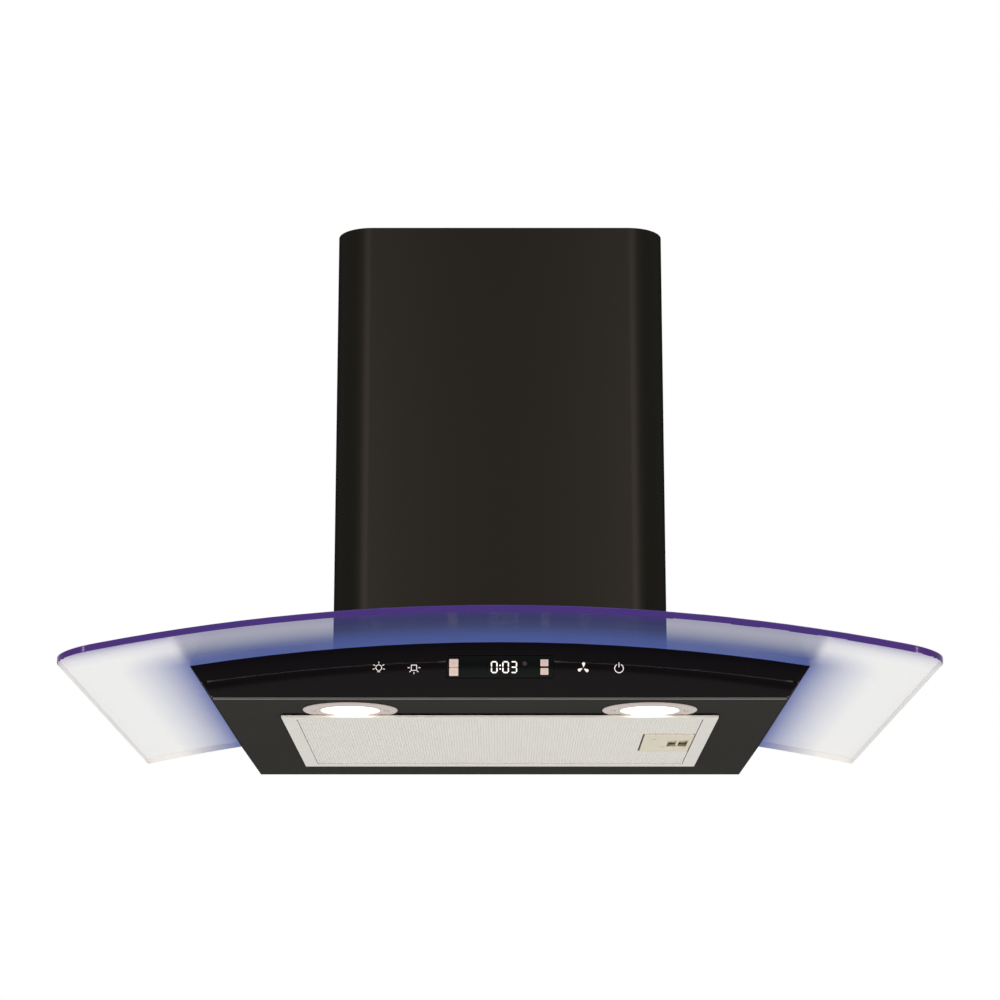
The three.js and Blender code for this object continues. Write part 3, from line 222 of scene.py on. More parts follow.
class Value:
    """An output socket whose arithmetic adds Math nodes."""

    def __init__(self, recipe, socket):
        self.recipe = recipe
        self.socket = socket

    __add__ = __radd__ = maths("ADD")
    __mul__ = __rmul__ = maths("MULTIPLY")
    __sub__ = maths("SUBTRACT")
    __rsub__ = maths("SUBTRACT", True)
    __truediv__ = maths("DIVIDE")
    __rtruediv__ = maths("DIVIDE", True)
    __pow__ = maths("POWER")
    __abs__ = maths("ABSOLUTE")
    __lt__ = maths("LESS_THAN")
    __and__ = maths("MINIMUM")
    __or__ = maths("MAXIMUM")
    fraction = maths("FRACT")

    def zigzag(self):
        """Falls from 1 to 0 and rises again over each whole step."""
        return abs(self.fraction() - 0.5) * 2


class Recipe:
    """The nodes of one material or of the world."""

    def __init__(self, owner, output="ShaderNodeOutputMaterial"):
        owner.use_nodes = True
        self.owner = owner
        self.nodes = owner.node_tree.nodes
        self.links = owner.node_tree.links
        self.nodes.clear()
        self.output = self.nodes.new(output)

    def node(self, kind, settings=(), values=(), out=0):
        """Adds a node: its settings first, then values or links for its sockets."""
        made = self.nodes.new(kind)
        for name, value in dict(settings).items():
            setattr(made, name, value)
        pairs = values.items() if isinstance(values, dict) else enumerate(values)
        for key, value in pairs:
            socket = made.inputs[key]
            if isinstance(value, Value):
                self.links.new(value.socket, socket)
            elif socket.type == "RGBA":
                socket.default_value = (*value[:3], 1.0)
            else:
                socket.default_value = value
        return Value(self, made.outputs[out])

    def place(self, scale=None):
        """Position on the piece in metres, or times a scale along each axis."""
        spot = self.node("ShaderNodeTexCoord", out="Object")
        if scale is None:
            return spot
        return self.node("ShaderNodeVectorMath", {"operation": "MULTIPLY"}, [spot, scale])

    def axes(self, vector=None):
        """The three parts of a vector, or of the position on the piece."""
        split = self.node("ShaderNodeSeparateXYZ", values=[vector or self.place()])
        return [Value(self, socket) for socket in split.socket.node.outputs]

    def noise(self, size, detail=2.0, stretch=(1, 1, 1)):
        """Cloudy noise whose features are about this size in metres."""
        values = {"Vector": self.place(tuple(s / size for s in stretch)), "Scale": 1.0, "Detail": detail}
        return self.node("ShaderNodeTexNoise", values=values, out="Fac")

    def cells(self, size, feature="F1", out="Distance"):
        """Voronoi cells of about this size in metres."""
        values = {"Vector": self.place((1 / size, 1 / size, 1 / size)), "Scale": 1.0}
        return self.node("ShaderNodeTexVoronoi", {"feature": feature}, values, out)

    def bricks(self, scale, offset, shades, mortar, width, out):
        """Rows of bricks in X and Z. The shades are those of two bricks and of the mortar."""
        values = dict(zip(("Color1", "Color2", "Mortar"), map(grey, shades)))
        values.update({"Vector": self.place((scale, 1, scale)), "Scale": 1.0, "Mortar Size": mortar,
                       "Brick Width": width, "Row Height": 0.6})
        return self.node("ShaderNodeTexBrick", {"offset": offset, "squash": 1.0}, values, out)

    def fade(self, value, low, high):
        """0 up to low and 1 from high, with soft ends."""
        return self.node("ShaderNodeMapRange", {"interpolation_type": "SMOOTHSTEP"},
                         {"Value": value, "From Min": low, "From Max": high})

    def mix(self, factor, first, second, blend="MIX"):
        """A colour between two colours."""
        return self.node("ShaderNodeMix", {"data_type": "RGBA", "blend_type": blend},
                         {0: factor, 6: first, 7: second}, 2)

    def shaded(self, base, factor, depth):
        """A colour that a noise darkens and lightens by this share."""
        return self.mix(factor, scaled(base, 1 - depth), scaled(base, 1 + depth))

    def bump(self, height, distance, strength=1.0, under=None):
        """A normal tilted by a height map."""
        values = {"Height": height, "Distance": distance, "Strength": strength}
        if under is not None:
            values["Normal"] = under
        return self.node("ShaderNodeBump", values=values)

    def facing(self):
        """0 where the surface faces the viewer, 1 at a glancing angle."""
        return self.node("ShaderNodeLayerWeight", values={"Blend": 0.5}, out="Facing")

    def principled(self, shade, roughness, normal=None, values=()):
        """A Principled shader."""
        sockets = {"Base Color": shade, "Roughness": roughness, **dict(values)}
        if normal is not None:
            sockets["Normal"] = normal
        return self.node("ShaderNodeBsdfPrincipled", values=sockets, out="BSDF")

    def blend(self, factor, first, second):
        """A shader between two shaders."""
        return self.node("ShaderNodeMixShader", values=[factor, first, second])

    def finish(self, shader):
        """Ends the recipe with a shader and returns its owner."""
        self.links.new(shader.socket, self.output.inputs["Surface"])
        return self.owner

    def coated(self, shade, roughness, normal=None, values=()):
        """Ends the recipe with one Principled shader and returns its owner."""
        return self.finish(self.principled(shade, roughness, normal, values))


def recipe(name):
    """A new empty material."""
    return Recipe(bpy.data.materials.new(name))


def powder_coat(name, base, gloss, roughness, peel=0.0016, crown=0.0):
    """Satin paint with orange peel, a little dust and a gloss that dies away at a glancing angle."""
    r = recipe(name)
    dust = r.fade(r.noise(0.0006, 4.0), 0.60, 0.74)
    shade = r.mix(dust * 0.10, r.shaded(base, r.noise(0.09, 3.0), 0.07), scaled(base, 2.4, 0.01))
    normal = r.bump(r.noise(peel, 3.0), 0.00006, 0.30)
    normal = r.bump(r.noise(0.045, 2.0), 0.0004, 0.08, normal)
    if crown:
        # the sheet stands very slightly crowned between its folds
        x, _, _ = r.axes()
        normal = r.bump(0.1 - x * x * crown, 1.0, 1.0, normal)
    satin = r.principled(shade, roughness + 0.12 * dust, normal,
                         {"Specular IOR Level": gloss, "Specular Tint": (1.0, 0.95, 0.91)})
    dull = r.principled(shade, 0.7, normal, {"Specular IOR Level": 0.0})
    return r.finish(r.blend((1 - r.facing()) ** 2.0, dull, satin))


def gloss_black(name, base):
    """Black gloss with fine wipe marks and a very slight wave."""
    r = recipe(name)
    wipe = r.fade(r.noise(0.0011, 5.0, (1, 1, 6)), 0.55, 0.80)
    shade = r.mix(r.noise(0.11, 3.0) * 0.5, base, tinted(base, (1.25, 1.08, 0.92)))
    rough = 0.06 + 0.05 * wipe + 0.03 * r.noise(0.04)
    wave = r.bump(r.noise(0.05, 1.0), 0.0002, 0.06)
    return r.coated(shade, rough, wave, {"Specular IOR Level": 0.09})


def brushed(name, base, roughness, along=(1, 40, 40), metallic=1.0, size=0.012):
    """Metal brushed along one axis."""
    r = recipe(name)
    lines = r.noise(size, 5.0, along)
    shade = r.mix(lines * 0.5 + r.noise(0.03, 3.0) * 0.3, scaled(base, 0.78), scaled(base, 1.12))
    return r.coated(shade, roughness - 0.06 + 0.16 * lines, r.bump(lines, 0.00003, 0.4),
                    {"Metallic": metallic})


def zinc_sheet(name, base, spangle=0.011):
    """Galvanised sheet with its spangle."""
    r = recipe(name)
    tone, turn, _ = r.axes(r.cells(spangle, out="Color"))
    seam = r.fade(r.cells(spangle, "DISTANCE_TO_EDGE"), 0.0, 0.06)
    fine = r.noise(0.0015, 4.0)
    shade = r.mix(tone * 0.65 + fine * 0.35, scaled(base, 0.66), scaled(base, 1.22))
    normal = r.bump(tone * 0.5 + seam * 0.3 + fine * 0.2, 0.00008, 0.4)
    return r.coated(shade, 0.30 + 0.16 * turn + 0.06 * fine, normal, {"Metallic": 0.85})


def moulded(name, base, roughness=0.45, grain=0.0007):
    """Moulded plastic with a fine spark grain."""
    r = recipe(name)
    pits = r.cells(grain)
    fine = r.noise(grain * 1.7, 3.0)
    shade = r.shaded(base, r.noise(0.04, 3.0) * 0.7 + fine * 0.3, 0.09)
    return r.coated(shade, roughness - 0.05 + 0.12 * fine, r.bump(pits + fine, 0.00004, 0.5),
                    {"Specular IOR Level": 0.4})


def rubber(name, base):
    """Dull rubber with a chalky bloom."""
    r = recipe(name)
    bloom = r.fade(r.noise(0.004, 4.0), 0.45, 0.75)
    shade = r.mix(bloom * 0.35, base, scaled(base, 2.2, 0.01))
    return r.coated(shade, 0.72 + 0.16 * bloom, r.bump(r.noise(0.0008, 3.0), 0.00008, 0.5),
                    {"Specular IOR Level": 0.25})


def plated(name, base):
    """Plated steel with fine drawing lines and dull spots."""
    r = recipe(name)
    spots = r.fade(r.noise(0.0022, 4.0), 0.52, 0.72)
    shade = r.mix(spots * 0.4, base, scaled(base, 0.72))
    return r.coated(shade, 0.22 + 0.18 * spots, r.bump(r.noise(0.0006, 2.0), 0.00002, 0.4),
                    {"Metallic": 1.0})


def cast(name, base):
    """Die-cast alloy or metal fleece, grainy and slightly blotched."""
    r = recipe(name)
    grain = r.noise(0.0009, 4.0)
    shade = r.mix(grain * 0.4 + r.noise(0.012, 3.0) * 0.5, scaled(base, 0.7), base)
    return r.coated(shade, 0.42 + 0.2 * grain, r.bump(grain, 0.00012, 0.5), {"Metallic": 0.9})


def board_finish(name):
    """Solder resist over copper tracks and pads."""
    r = recipe(name)
    track = r.bricks(420, 0.5, (1, 0.9, 0), 0.07, 2.6, "Fac")
    pad = r.cells(0.0035) < 0.2
    resist = r.shaded((0.016, 0.13, 0.055), r.noise(0.01), 0.2)
    shade = r.mix(pad, r.mix(track * 0.6, resist, (0.03, 0.22, 0.09)), (0.62, 0.55, 0.36))
    return r.coated(shade, 0.35 + 0.1 * r.noise(0.002), r.bump(track + pad, 0.00008, 0.6),
                    {"Metallic": pad * 0.8})


def light_guide(name, base):
    """Milky light guide, lit and a little cloudy."""
    r = recipe(name)
    cloud = r.noise(0.006, 3.0)
    shade = r.mix(cloud, scaled(base, 0.8), base)
    return r.coated(shade, 0.3 + 0.1 * cloud, r.bump(cloud, 0.0001, 0.2),
                    {"Emission Color": shade, "Emission Strength": 1.4})


def lens_finish(name):
    """Frosted lens over a lit lamp, with a grain of fine prisms."""
    r = recipe(name)
    frost = r.cells(0.0011)
    shade = r.mix(r.fade(frost, 0.1, 0.7), (1.0, 0.985, 0.95), (0.96, 0.93, 0.88))
    return r.coated(shade, 0.35 + 0.1 * frost, r.bump(frost, 0.00015, 0.6),
                    {"Emission Color": shade, "Emission Strength": 1.9})


def display_finish(name):
    """Smoked window with a faint green cast and the lattice of the panel behind it."""
    r = recipe(name)
    lattice = r.bricks(900, 0.0, (1, 0.92, 0.5), 0.04, 0.6, "Color")
    shade = r.mix(1.0, linear(9, 14, 10), lattice, "MULTIPLY")
    return r.coated(shade, 0.07 + 0.05 * r.noise(0.003, 3.0), values={"Specular IOR Level": 0.11})


def glass_edge(name, g):
    """Polished edge of the glass with painted glow: dark violet along the front, pale along the sides and
    blue beside the body.
    """
    r = recipe(name)
    x, y, _ = r.axes()
    front = 1 - r.fade(y, GLASS_FRONT + 0.020, GLASS_FRONT + 0.038)
    corner = r.fade(abs(x), 0.235, GLASS_HALF)
    streak = r.noise(0.02, 3.0, (1, 1, 14))
    # painted glow: violet along the front edge, redder towards the corners
    violet = r.mix(corner, g.rim, tinted(g.rim, (1.35, 0.85, 0.95)))
    beside = (abs(x) - BODY_HALF) | 0.0
    # painted blue glow on the side edges beside the body
    lit = (1 - (beside / g.glow_reach & 1.0)) * (1 - front)
    pale = r.mix(lit * 0.8, r.shaded(g.edge, streak, 0.10), g.glow)
    # painted glow given as emission along the edges
    light = r.mix(front, scaled(g.edge, 0.10), r.shaded(scaled(g.rim, 0.30), streak, 0.25))
    return r.coated(r.mix(front, pale, violet), 0.10 + 0.08 * streak, r.bump(streak, 0.00004, 0.3),
                    {"Emission Color": light, "Emission Strength": 1.0, "Specular IOR Level": 0.10})


def clear_glass(name, g):
    """Clear glass that mirrors more at a glancing angle, with painted glow beside the body and behind the
    front rim, and a painted dull blue-grey reflection of the fascia in front of it.
    """
    r = recipe(name)
    x, y, _ = r.axes()
    # distance outside the outline of the body
    beside = (abs(x) - BODY_HALF) | 0.0
    ahead = (BODY_FRONT - y) | 0.0
    away = (beside * beside + ahead * ahead * 0.6) ** 0.5
    near = 1 - (away / g.glow_reach & 1.0)
    rim = (1 - ((y - GLASS_FRONT) / g.rim_reach & 1.0)) ** 1.3
    in_front = r.fade(ahead, 0.0, 0.008) * (1 - r.fade(abs(x), BODY_HALF - 0.0025, BODY_HALF + 0.0065))
    # over the body the painted glow dies within a few millimetres of the side guides. It starts to die
    # farther behind the front one, because a low view sees the top face that much farther back
    set_back = 0.026
    inside = ((BODY_HALF - abs(x)) & (y - BODY_FRONT - set_back)) | 0.0
    cloud = 0.95 + 0.10 * r.noise(0.05, 2.0)
    # painted glow beside the body: opacity and blue emission stand in for light from the side guides and
    # darken the white seen through
    lit = near * cloud * g.glow_share * (1 - 0.93 * r.fade(inside, 0.005, 0.024))
    # painted glow behind the front rim
    painted_front_glow = rim * 0.80 * (1 - 0.45 * in_front)
    # painted reflection: the glass in front of the fascia is made a dull blue-grey where it would mirror the
    # fascia
    dull = in_front * (0.72 - 2.6 * ahead)
    through = (1 - g.clear) * (1 - lit) * (1 - painted_front_glow) * (1 - dull)
    # colour of the painted glow and of the painted reflection, given as emission
    glow = r.mix(painted_front_glow / (painted_front_glow + lit + 0.001), g.glow, g.front_glow)
    weight = (lit | painted_front_glow) / (lit + painted_front_glow + 0.8 * dull + g.clear)
    light = r.mix(weight, r.mix(in_front, grey(0.0), (0.055, 0.068, 0.16)), glow)
    smear = r.noise(0.03, 4.0)
    # the face colour goes black where glow or reflection is painted
    face = r.mix(lit | painted_front_glow | in_front, r.shaded(g.tint, smear, 0.06), grey(0.0))
    # each ray crosses two faces, so each takes the root of the whole
    body = r.principled(face, 0.05 + 0.04 * smear, values={
        "Alpha": 1 - through ** 0.5, "Emission Color": light, "Emission Strength": 1.0,
        "Specular IOR Level": 0.0})
    mirror = r.principled((0.97, 0.965, 0.955), 0.17, values={"Metallic": 1.0})
    gloss = (0.035 + 0.965 * r.facing() ** 5.0) * 0.85
    gloss = gloss * (1 - 0.85 * lit) * (1 - 0.75 * painted_front_glow) * (1 - 0.85 * in_front)
    return r.finish(r.blend(gloss, body, mirror))


def screen_finish(name, base, pitch):
    """Fine aluminium screen: painted shade between its pleats, with the diamonds of the expanded sheet."""
    r = recipe(name)
    x, y, _ = r.axes()
    # painted shade in the creases between the pleats
    pleat_shade = r.fade((x / pitch + 100.0).zigzag(), 0.72, 0.98)
    weave = r.fade(((x + y * 0.5) / (pitch * 0.9) + 400.0).zigzag(), 0.70, 0.95)
    tone = r.noise(0.05, 2.0)
    shade = r.mix(pleat_shade * 0.50 + weave * 0.05, r.shaded(base, tone, 0.04), scaled(base, 0.42))
    return r.coated(shade, 0.45 + 0.15 * tone, r.bump(1 - pleat_shade, 0.0002, 0.5), {"Metallic": 0.35})


def lit_print(name, base, strength):
    """Print or bars that are lit from behind, a little uneven."""
    r = recipe(name)
    even = r.noise(0.0009, 3.0)
    shade = r.mix(even * 0.5, base, scaled(base, 0.82))
    return r.coated(shade, 0.35 + 0.1 * even, values={
        "Emission Color": shade, "Emission Strength": strength, "Specular IOR Level": 0.2})


def make_finishes(scene):
    """One material for each slot of the record."""
    f, g = scene.hood_finishes, scene.hood_glass
    return {
        "clear_glass": clear_glass("glass_face", g),
        "gasket_rubber": rubber("gasket_rubber", linear(24, 24, 25)),
        "canopy_black": powder_coat("canopy_satin", f.canopy, 0.15, 0.35, 0.0014),
        "gloss_black": gloss_black("fascia_gloss", f.fascia),
        "display_glass": display_finish("display_smoke"),
        "trim_steel": brushed("trim_brushed", f.trim, 0.32, metallic=0.9),
        "black_plastic": moulded("plastic_black", linear(28, 28, 30)),
        "circuit_board": board_finish("control_circuit"),
        "edge_light": light_guide("guide_blue", (0.22, 0.30, 0.95)),
        "filter_aluminium": brushed("filter_pressed", f.aluminium, 0.42, (3, 26, 26), 0.35, 0.02),
        "filter_mesh": cast("filter_fleece", linear(150, 150, 147)),
        "latch_plastic": moulded("latch_beige", f.latch, 0.5),
        "spring_steel": plated("steel_plated", linear(190, 190, 190)),
        "galvanised_steel": zinc_sheet("zinc_spangle", f.zinc),
        "grey_plastic": moulded("housing_grey", f.fan_plastic, 0.5, 0.001),
        "impeller_plastic": moulded("wheel_black", f.wheel_plastic, 0.42),
        "motor_steel": brushed("motor_shell", linear(150, 152, 155), 0.35, (40, 2, 40)),
        "white_plastic": moulded("plastic_white", linear(226, 224, 216), 0.4),
        "chimney_paint": powder_coat("chimney_satin", f.chimney, 0.105, f.paint_gloss, crown=0.42),
        "lamp_bezel": brushed("bezel_satin", f.bezel, 0.34, (2, 2, 30), 0.7, 0.006),
        "lamp_lens": lens_finish("lens_frosted"),
        "heat_sink": cast("heat_sink_alloy", linear(178, 178, 180)),
    }


finishes = {}


# ------------------------------ meshes
def settle(piece, body, slot, material=None, replaced=()):
    """Puts a piece in the scene, on its body, in its own finish or in that of its slot."""
    bpy.context.scene.collection.objects.link(piece)
    piece.data.materials.append(finishes[slot] if material is None else material)
    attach(piece, body)
    if replaced:
        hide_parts(*replaced)


def round_edges(piece, width, segments=2):
    """Rounds the sharp edges and evens the shading of the flats."""
    bevel = piece.modifiers.new("Rounded edges", "BEVEL")
    bevel.width = width
    bevel.segments = segments
    bevel.limit_method = "ANGLE"
    bevel.angle_limit = math.radians(BEVEL_ANGLE)
    bevel.use_clamp_overlap = True
    even = piece.modifiers.new("Even flats", "WEIGHTED_NORMAL")
    even.keep_sharp = True


def as_object(bm, name, angle):
    """An object with smooth faces, whose edges past an angle stay sharp."""
    for face in bm.faces:
        face.smooth = True
    for edge in bm.edges:
        if len(edge.link_faces) == 2:
            edge.smooth = edge.calc_face_angle(0.0) < math.radians(angle)
    mesh = bpy.data.meshes.new(name)
    bm.to_mesh(mesh)
    bm.free()
    return bpy.data.objects.new(name, mesh)


def from_bmesh(bm, name, angle=SMOOTH_ANGLE):
    """An object from a new bmesh, with its faces turned outwards."""
    bmesh.ops.recalc_face_normals(bm, faces=bm.faces)
    return as_object(bm, name, angle)


def refined(node, name, edge, angle=SMOOTH_ANGLE, segments=2):
    """A smooth copy of a node with rounded edges, which stands for it."""
    source = frame["nodes"][node]
    bm = bmesh.new()
    bm.from_mesh(source.data)
    bmesh.ops.remove_doubles(bm, verts=bm.verts, dist=0.000004)
    bmesh.ops.dissolve_limit(bm, angle_limit=math.radians(0.4), verts=bm.verts, edges=bm.edges)
    piece = as_object(bm, name, angle)
    settle(piece, body_of(source)[0], SLOT_OF[node], replaced=[node])
    if edge:
        round_edges(piece, edge, segments)
    return piece


def refine_all(pieces):
    """Makes a refined copy for each (node, name, edge) given."""
    for node, name, edge in pieces:
        refined(node, name, edge)


def polar(centre, radius, degrees):
    """A point at this distance and angle from a centre."""
    a = math.radians(degrees)
    return (centre[0] + radius * math.cos(a), centre[1] + radius * math.sin(a))


def level_ring(bm, x, y, z, radius, count):
    """A level ring of points."""
    return [bm.verts.new((*polar((x, y), radius, 360 * i / count), z)) for i in range(count)]


def bridge(bm, first, second):
    """A face between each side of one loop of points and the like side of another."""
    for i in range(len(first)):
        j = (i + 1) % len(first)
        bm.faces.new((first[i], first[j], second[j], second[i]))


def screw(bm, x, y, z):
    """A cross-head screw that stands a little proud of its seat, with its head downwards."""
    rings = [level_ring(bm, x, y, z + rise, radius, 18)
             for radius, rise in ((0.0019, 0.0002), (0.0019, -0.0003), (0.0014, -0.0006))]
    # the cross is sunk in the head
    reach = [0.0010 if i % 9 in (0, 1, 2, 5, 6, 7) else 0.0005 for i in range(18)]
    rings.append([bm.verts.new((*polar((x, y), r, 20 * i), z - 0.00045)) for i, r in enumerate(reach)])
    for lower, upper in zip(rings, rings[1:]):
        bridge(bm, lower, upper)
    bm.faces.new(rings[-1])


class Print:
    """Flat strokes given in X and Z, whose faces stand at front and whose bodies go back by depth."""

    def __init__(self, front, depth, width=0.0):
        self.bm = bmesh.new()
        self.front = front
        self.depth = depth
        self.width = width

    def shape(self, outline):
        """A shape inside an outline."""
        near = [self.bm.verts.new((x, self.front, z)) for x, z in outline]
        far = [self.bm.verts.new((x, self.front + self.depth, z)) for x, z in outline]
        self.bm.faces.new(near)
        self.bm.faces.new(far[::-1])
        bridge(self.bm, far, near)

    def bar(self, start, end, width=None, pointed=False):
        """A straight stroke with square or pointed ends."""
        half = (width or self.width) / 2
        a, b = Vector(start), Vector(end)
        tip = (b - a).normalized() * half
        side = Vector((-tip.y, tip.x))
        if pointed:
            outline = [a, a + tip + side, b - tip + side, b, b - tip - side, a + tip - side]
        else:
            outline = [a + side, b + side, b - side, a - side]
        self.shape([tuple(p) for p in outline])

    def arc(self, centre, radius, start=0, end=360, width=None, steps=28):
        """A round stroke between two angles in degrees."""
        half = (width or self.width) / 2
        count = max(4, int(steps * abs(end - start) / 360))
        angles = [start + (end - start) * i / count for i in range(count + 1)]
        outer = [polar(centre, radius + half, a) for a in angles]
        inner = [polar(centre, radius - half, a) for a in angles]
        for i in range(count):
            self.shape([outer[i], outer[i + 1], inner[i + 1], inner[i]])

    def plate(self, x0, x1, z0, z1, corner):
        """A rectangle with round corners."""
        outline = []
        for x, z, turn in ((x1 - corner, z1 - corner, 0), (x0 + corner, z1 - corner, 90),
                           (x0 + corner, z0 + corner, 180), (x1 - corner, z0 + corner, 270)):
            outline += [polar((x, z), corner, turn + step * 22.5) for step in range(5)]
        self.shape(outline)

    def settle(self, name, slot, material):
        """Puts the strokes on the hood as one piece."""
        settle(from_bmesh(self.bm, name), "hood", slot, material)


# ------------------------------ operators
class Maker:
    """What every operator of the hood shares."""

    bl_options = {"REGISTER", "UNDO"}


class MakeFinishes(Maker, bpy.types.Operator):
    """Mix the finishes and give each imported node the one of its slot"""

    bl_idname = "hood.make_finishes"
    bl_label = "Finishes"
    def execute(self, context):
        finishes.update(make_finishes(context.scene))
        missing = sorted(set(SLOT_OF.values()) - set(finishes))
        if missing:
            raise RuntimeError("no finish for " + ", ".join(missing))
        for name, node in frame["nodes"].items():
            for place in node.material_slots:
                place.material = finishes[SLOT_OF[name]]
        return {"FINISHED"}


class MakeChimney(Maker, bpy.types.Operator):
    """Make both chimney sleeves with folded, rounded edges"""

    bl_idname = "hood.make_chimney"
    bl_label = "Chimney"
    def execute(self, context):
        refine_all([("chimney_lower", "chimney_sleeve", 0.0005), ("chimney_upper", "chimney_riser", 0.0003)])
        return {"FINISHED"}


class MakeCanopy(Maker, bpy.types.Operator):
    """Make the flared body and the gasket under the glass"""

    bl_idname = "hood.make_canopy"
    bl_label = "Canopy body"
    def execute(self, context):
        refine_all([("canopy_shell", "canopy_body", 0.0004), ("glass_gasket", "gasket_frame", 0.0002)])
        return {"FINISHED"}


class MakeGlass(Maker, bpy.types.Operator):
    """Make the arched glass with polished edges, and its screws"""

    bl_idname = "hood.make_glass"
    bl_label = "Glass"
    def execute(self, context):
        glass = refined("glass_canopy", "glass_arch", 0.0009, 20.0, 3)
        glass.data.materials.append(glass_edge("glass_edge", context.scene.hood_glass))
        for face in glass.data.polygons:
            face.material_index = 1 if abs(face.normal.z) < 0.6 else 0
        for index in range(1, 5):
            refined(f"glass_screw_{index}", f"canopy_bolt_{index}", 0.0003)
        return {"FINISHED"}


class MakeFascia(Maker, bpy.types.Operator):
    """Make the fascia, the touch panel under its seam, the window and the trim strip"""

    bl_idname = "hood.make_fascia"
    bl_label = "Fascia"
    def execute(self, context):
        refine_all([("fascia_band", "fascia_upper", 0.00025), ("control_panel", "touch_panel", 0.00025),
                    ("display_window", "clock_window", 0.0002), ("fascia_trim", "trim_strip", 0.0003),
                    ("display_module", "clock_module", 0.0004), ("control_board", "touch_board", 0.0002)])
        for index in range(1, 5):
            refined(f"touch_sensor_{index}", f"touch_pad_{index}", 0.0003)
        self.seam()
        return {"FINISHED"}

    def seam(self):
        """A thin grey strip over the joint of fascia and touch panel, on either side of the window: a
        painted highlight where the touch panel's top edge catches the light.
        """
        crown, radius = UNDERSIDE + 0.027, 1.44
        inner, outer, steps = 0.0385, 0.2075, 30
        height, drop = 0.0010, 0.0003
        seam_highlight = Print(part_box("control_panel")[0].y - 0.00008, 0.0009)
        for side in (-1, 1):
            line = [side * (inner + (outer - inner) * i / steps) for i in range(steps + 1)]
            low = [(x, crown - radius + math.sqrt(radius ** 2 - x * x) - drop) for x in line]
            for (x0, z0), (x1, z1) in zip(low, low[1:]):
                seam_highlight.shape([(x0, z0), (x1, z1), (x1, z1 + height), (x0, z0 + height)])
        bmesh.ops.remove_doubles(seam_highlight.bm, verts=seam_highlight.bm.verts, dist=0.00001)
        # the grey of the strip is a painted highlight
        seam_highlight.settle("fascia_seal", "gasket_rubber", rubber("seal_grey", linear(60, 57, 55)))


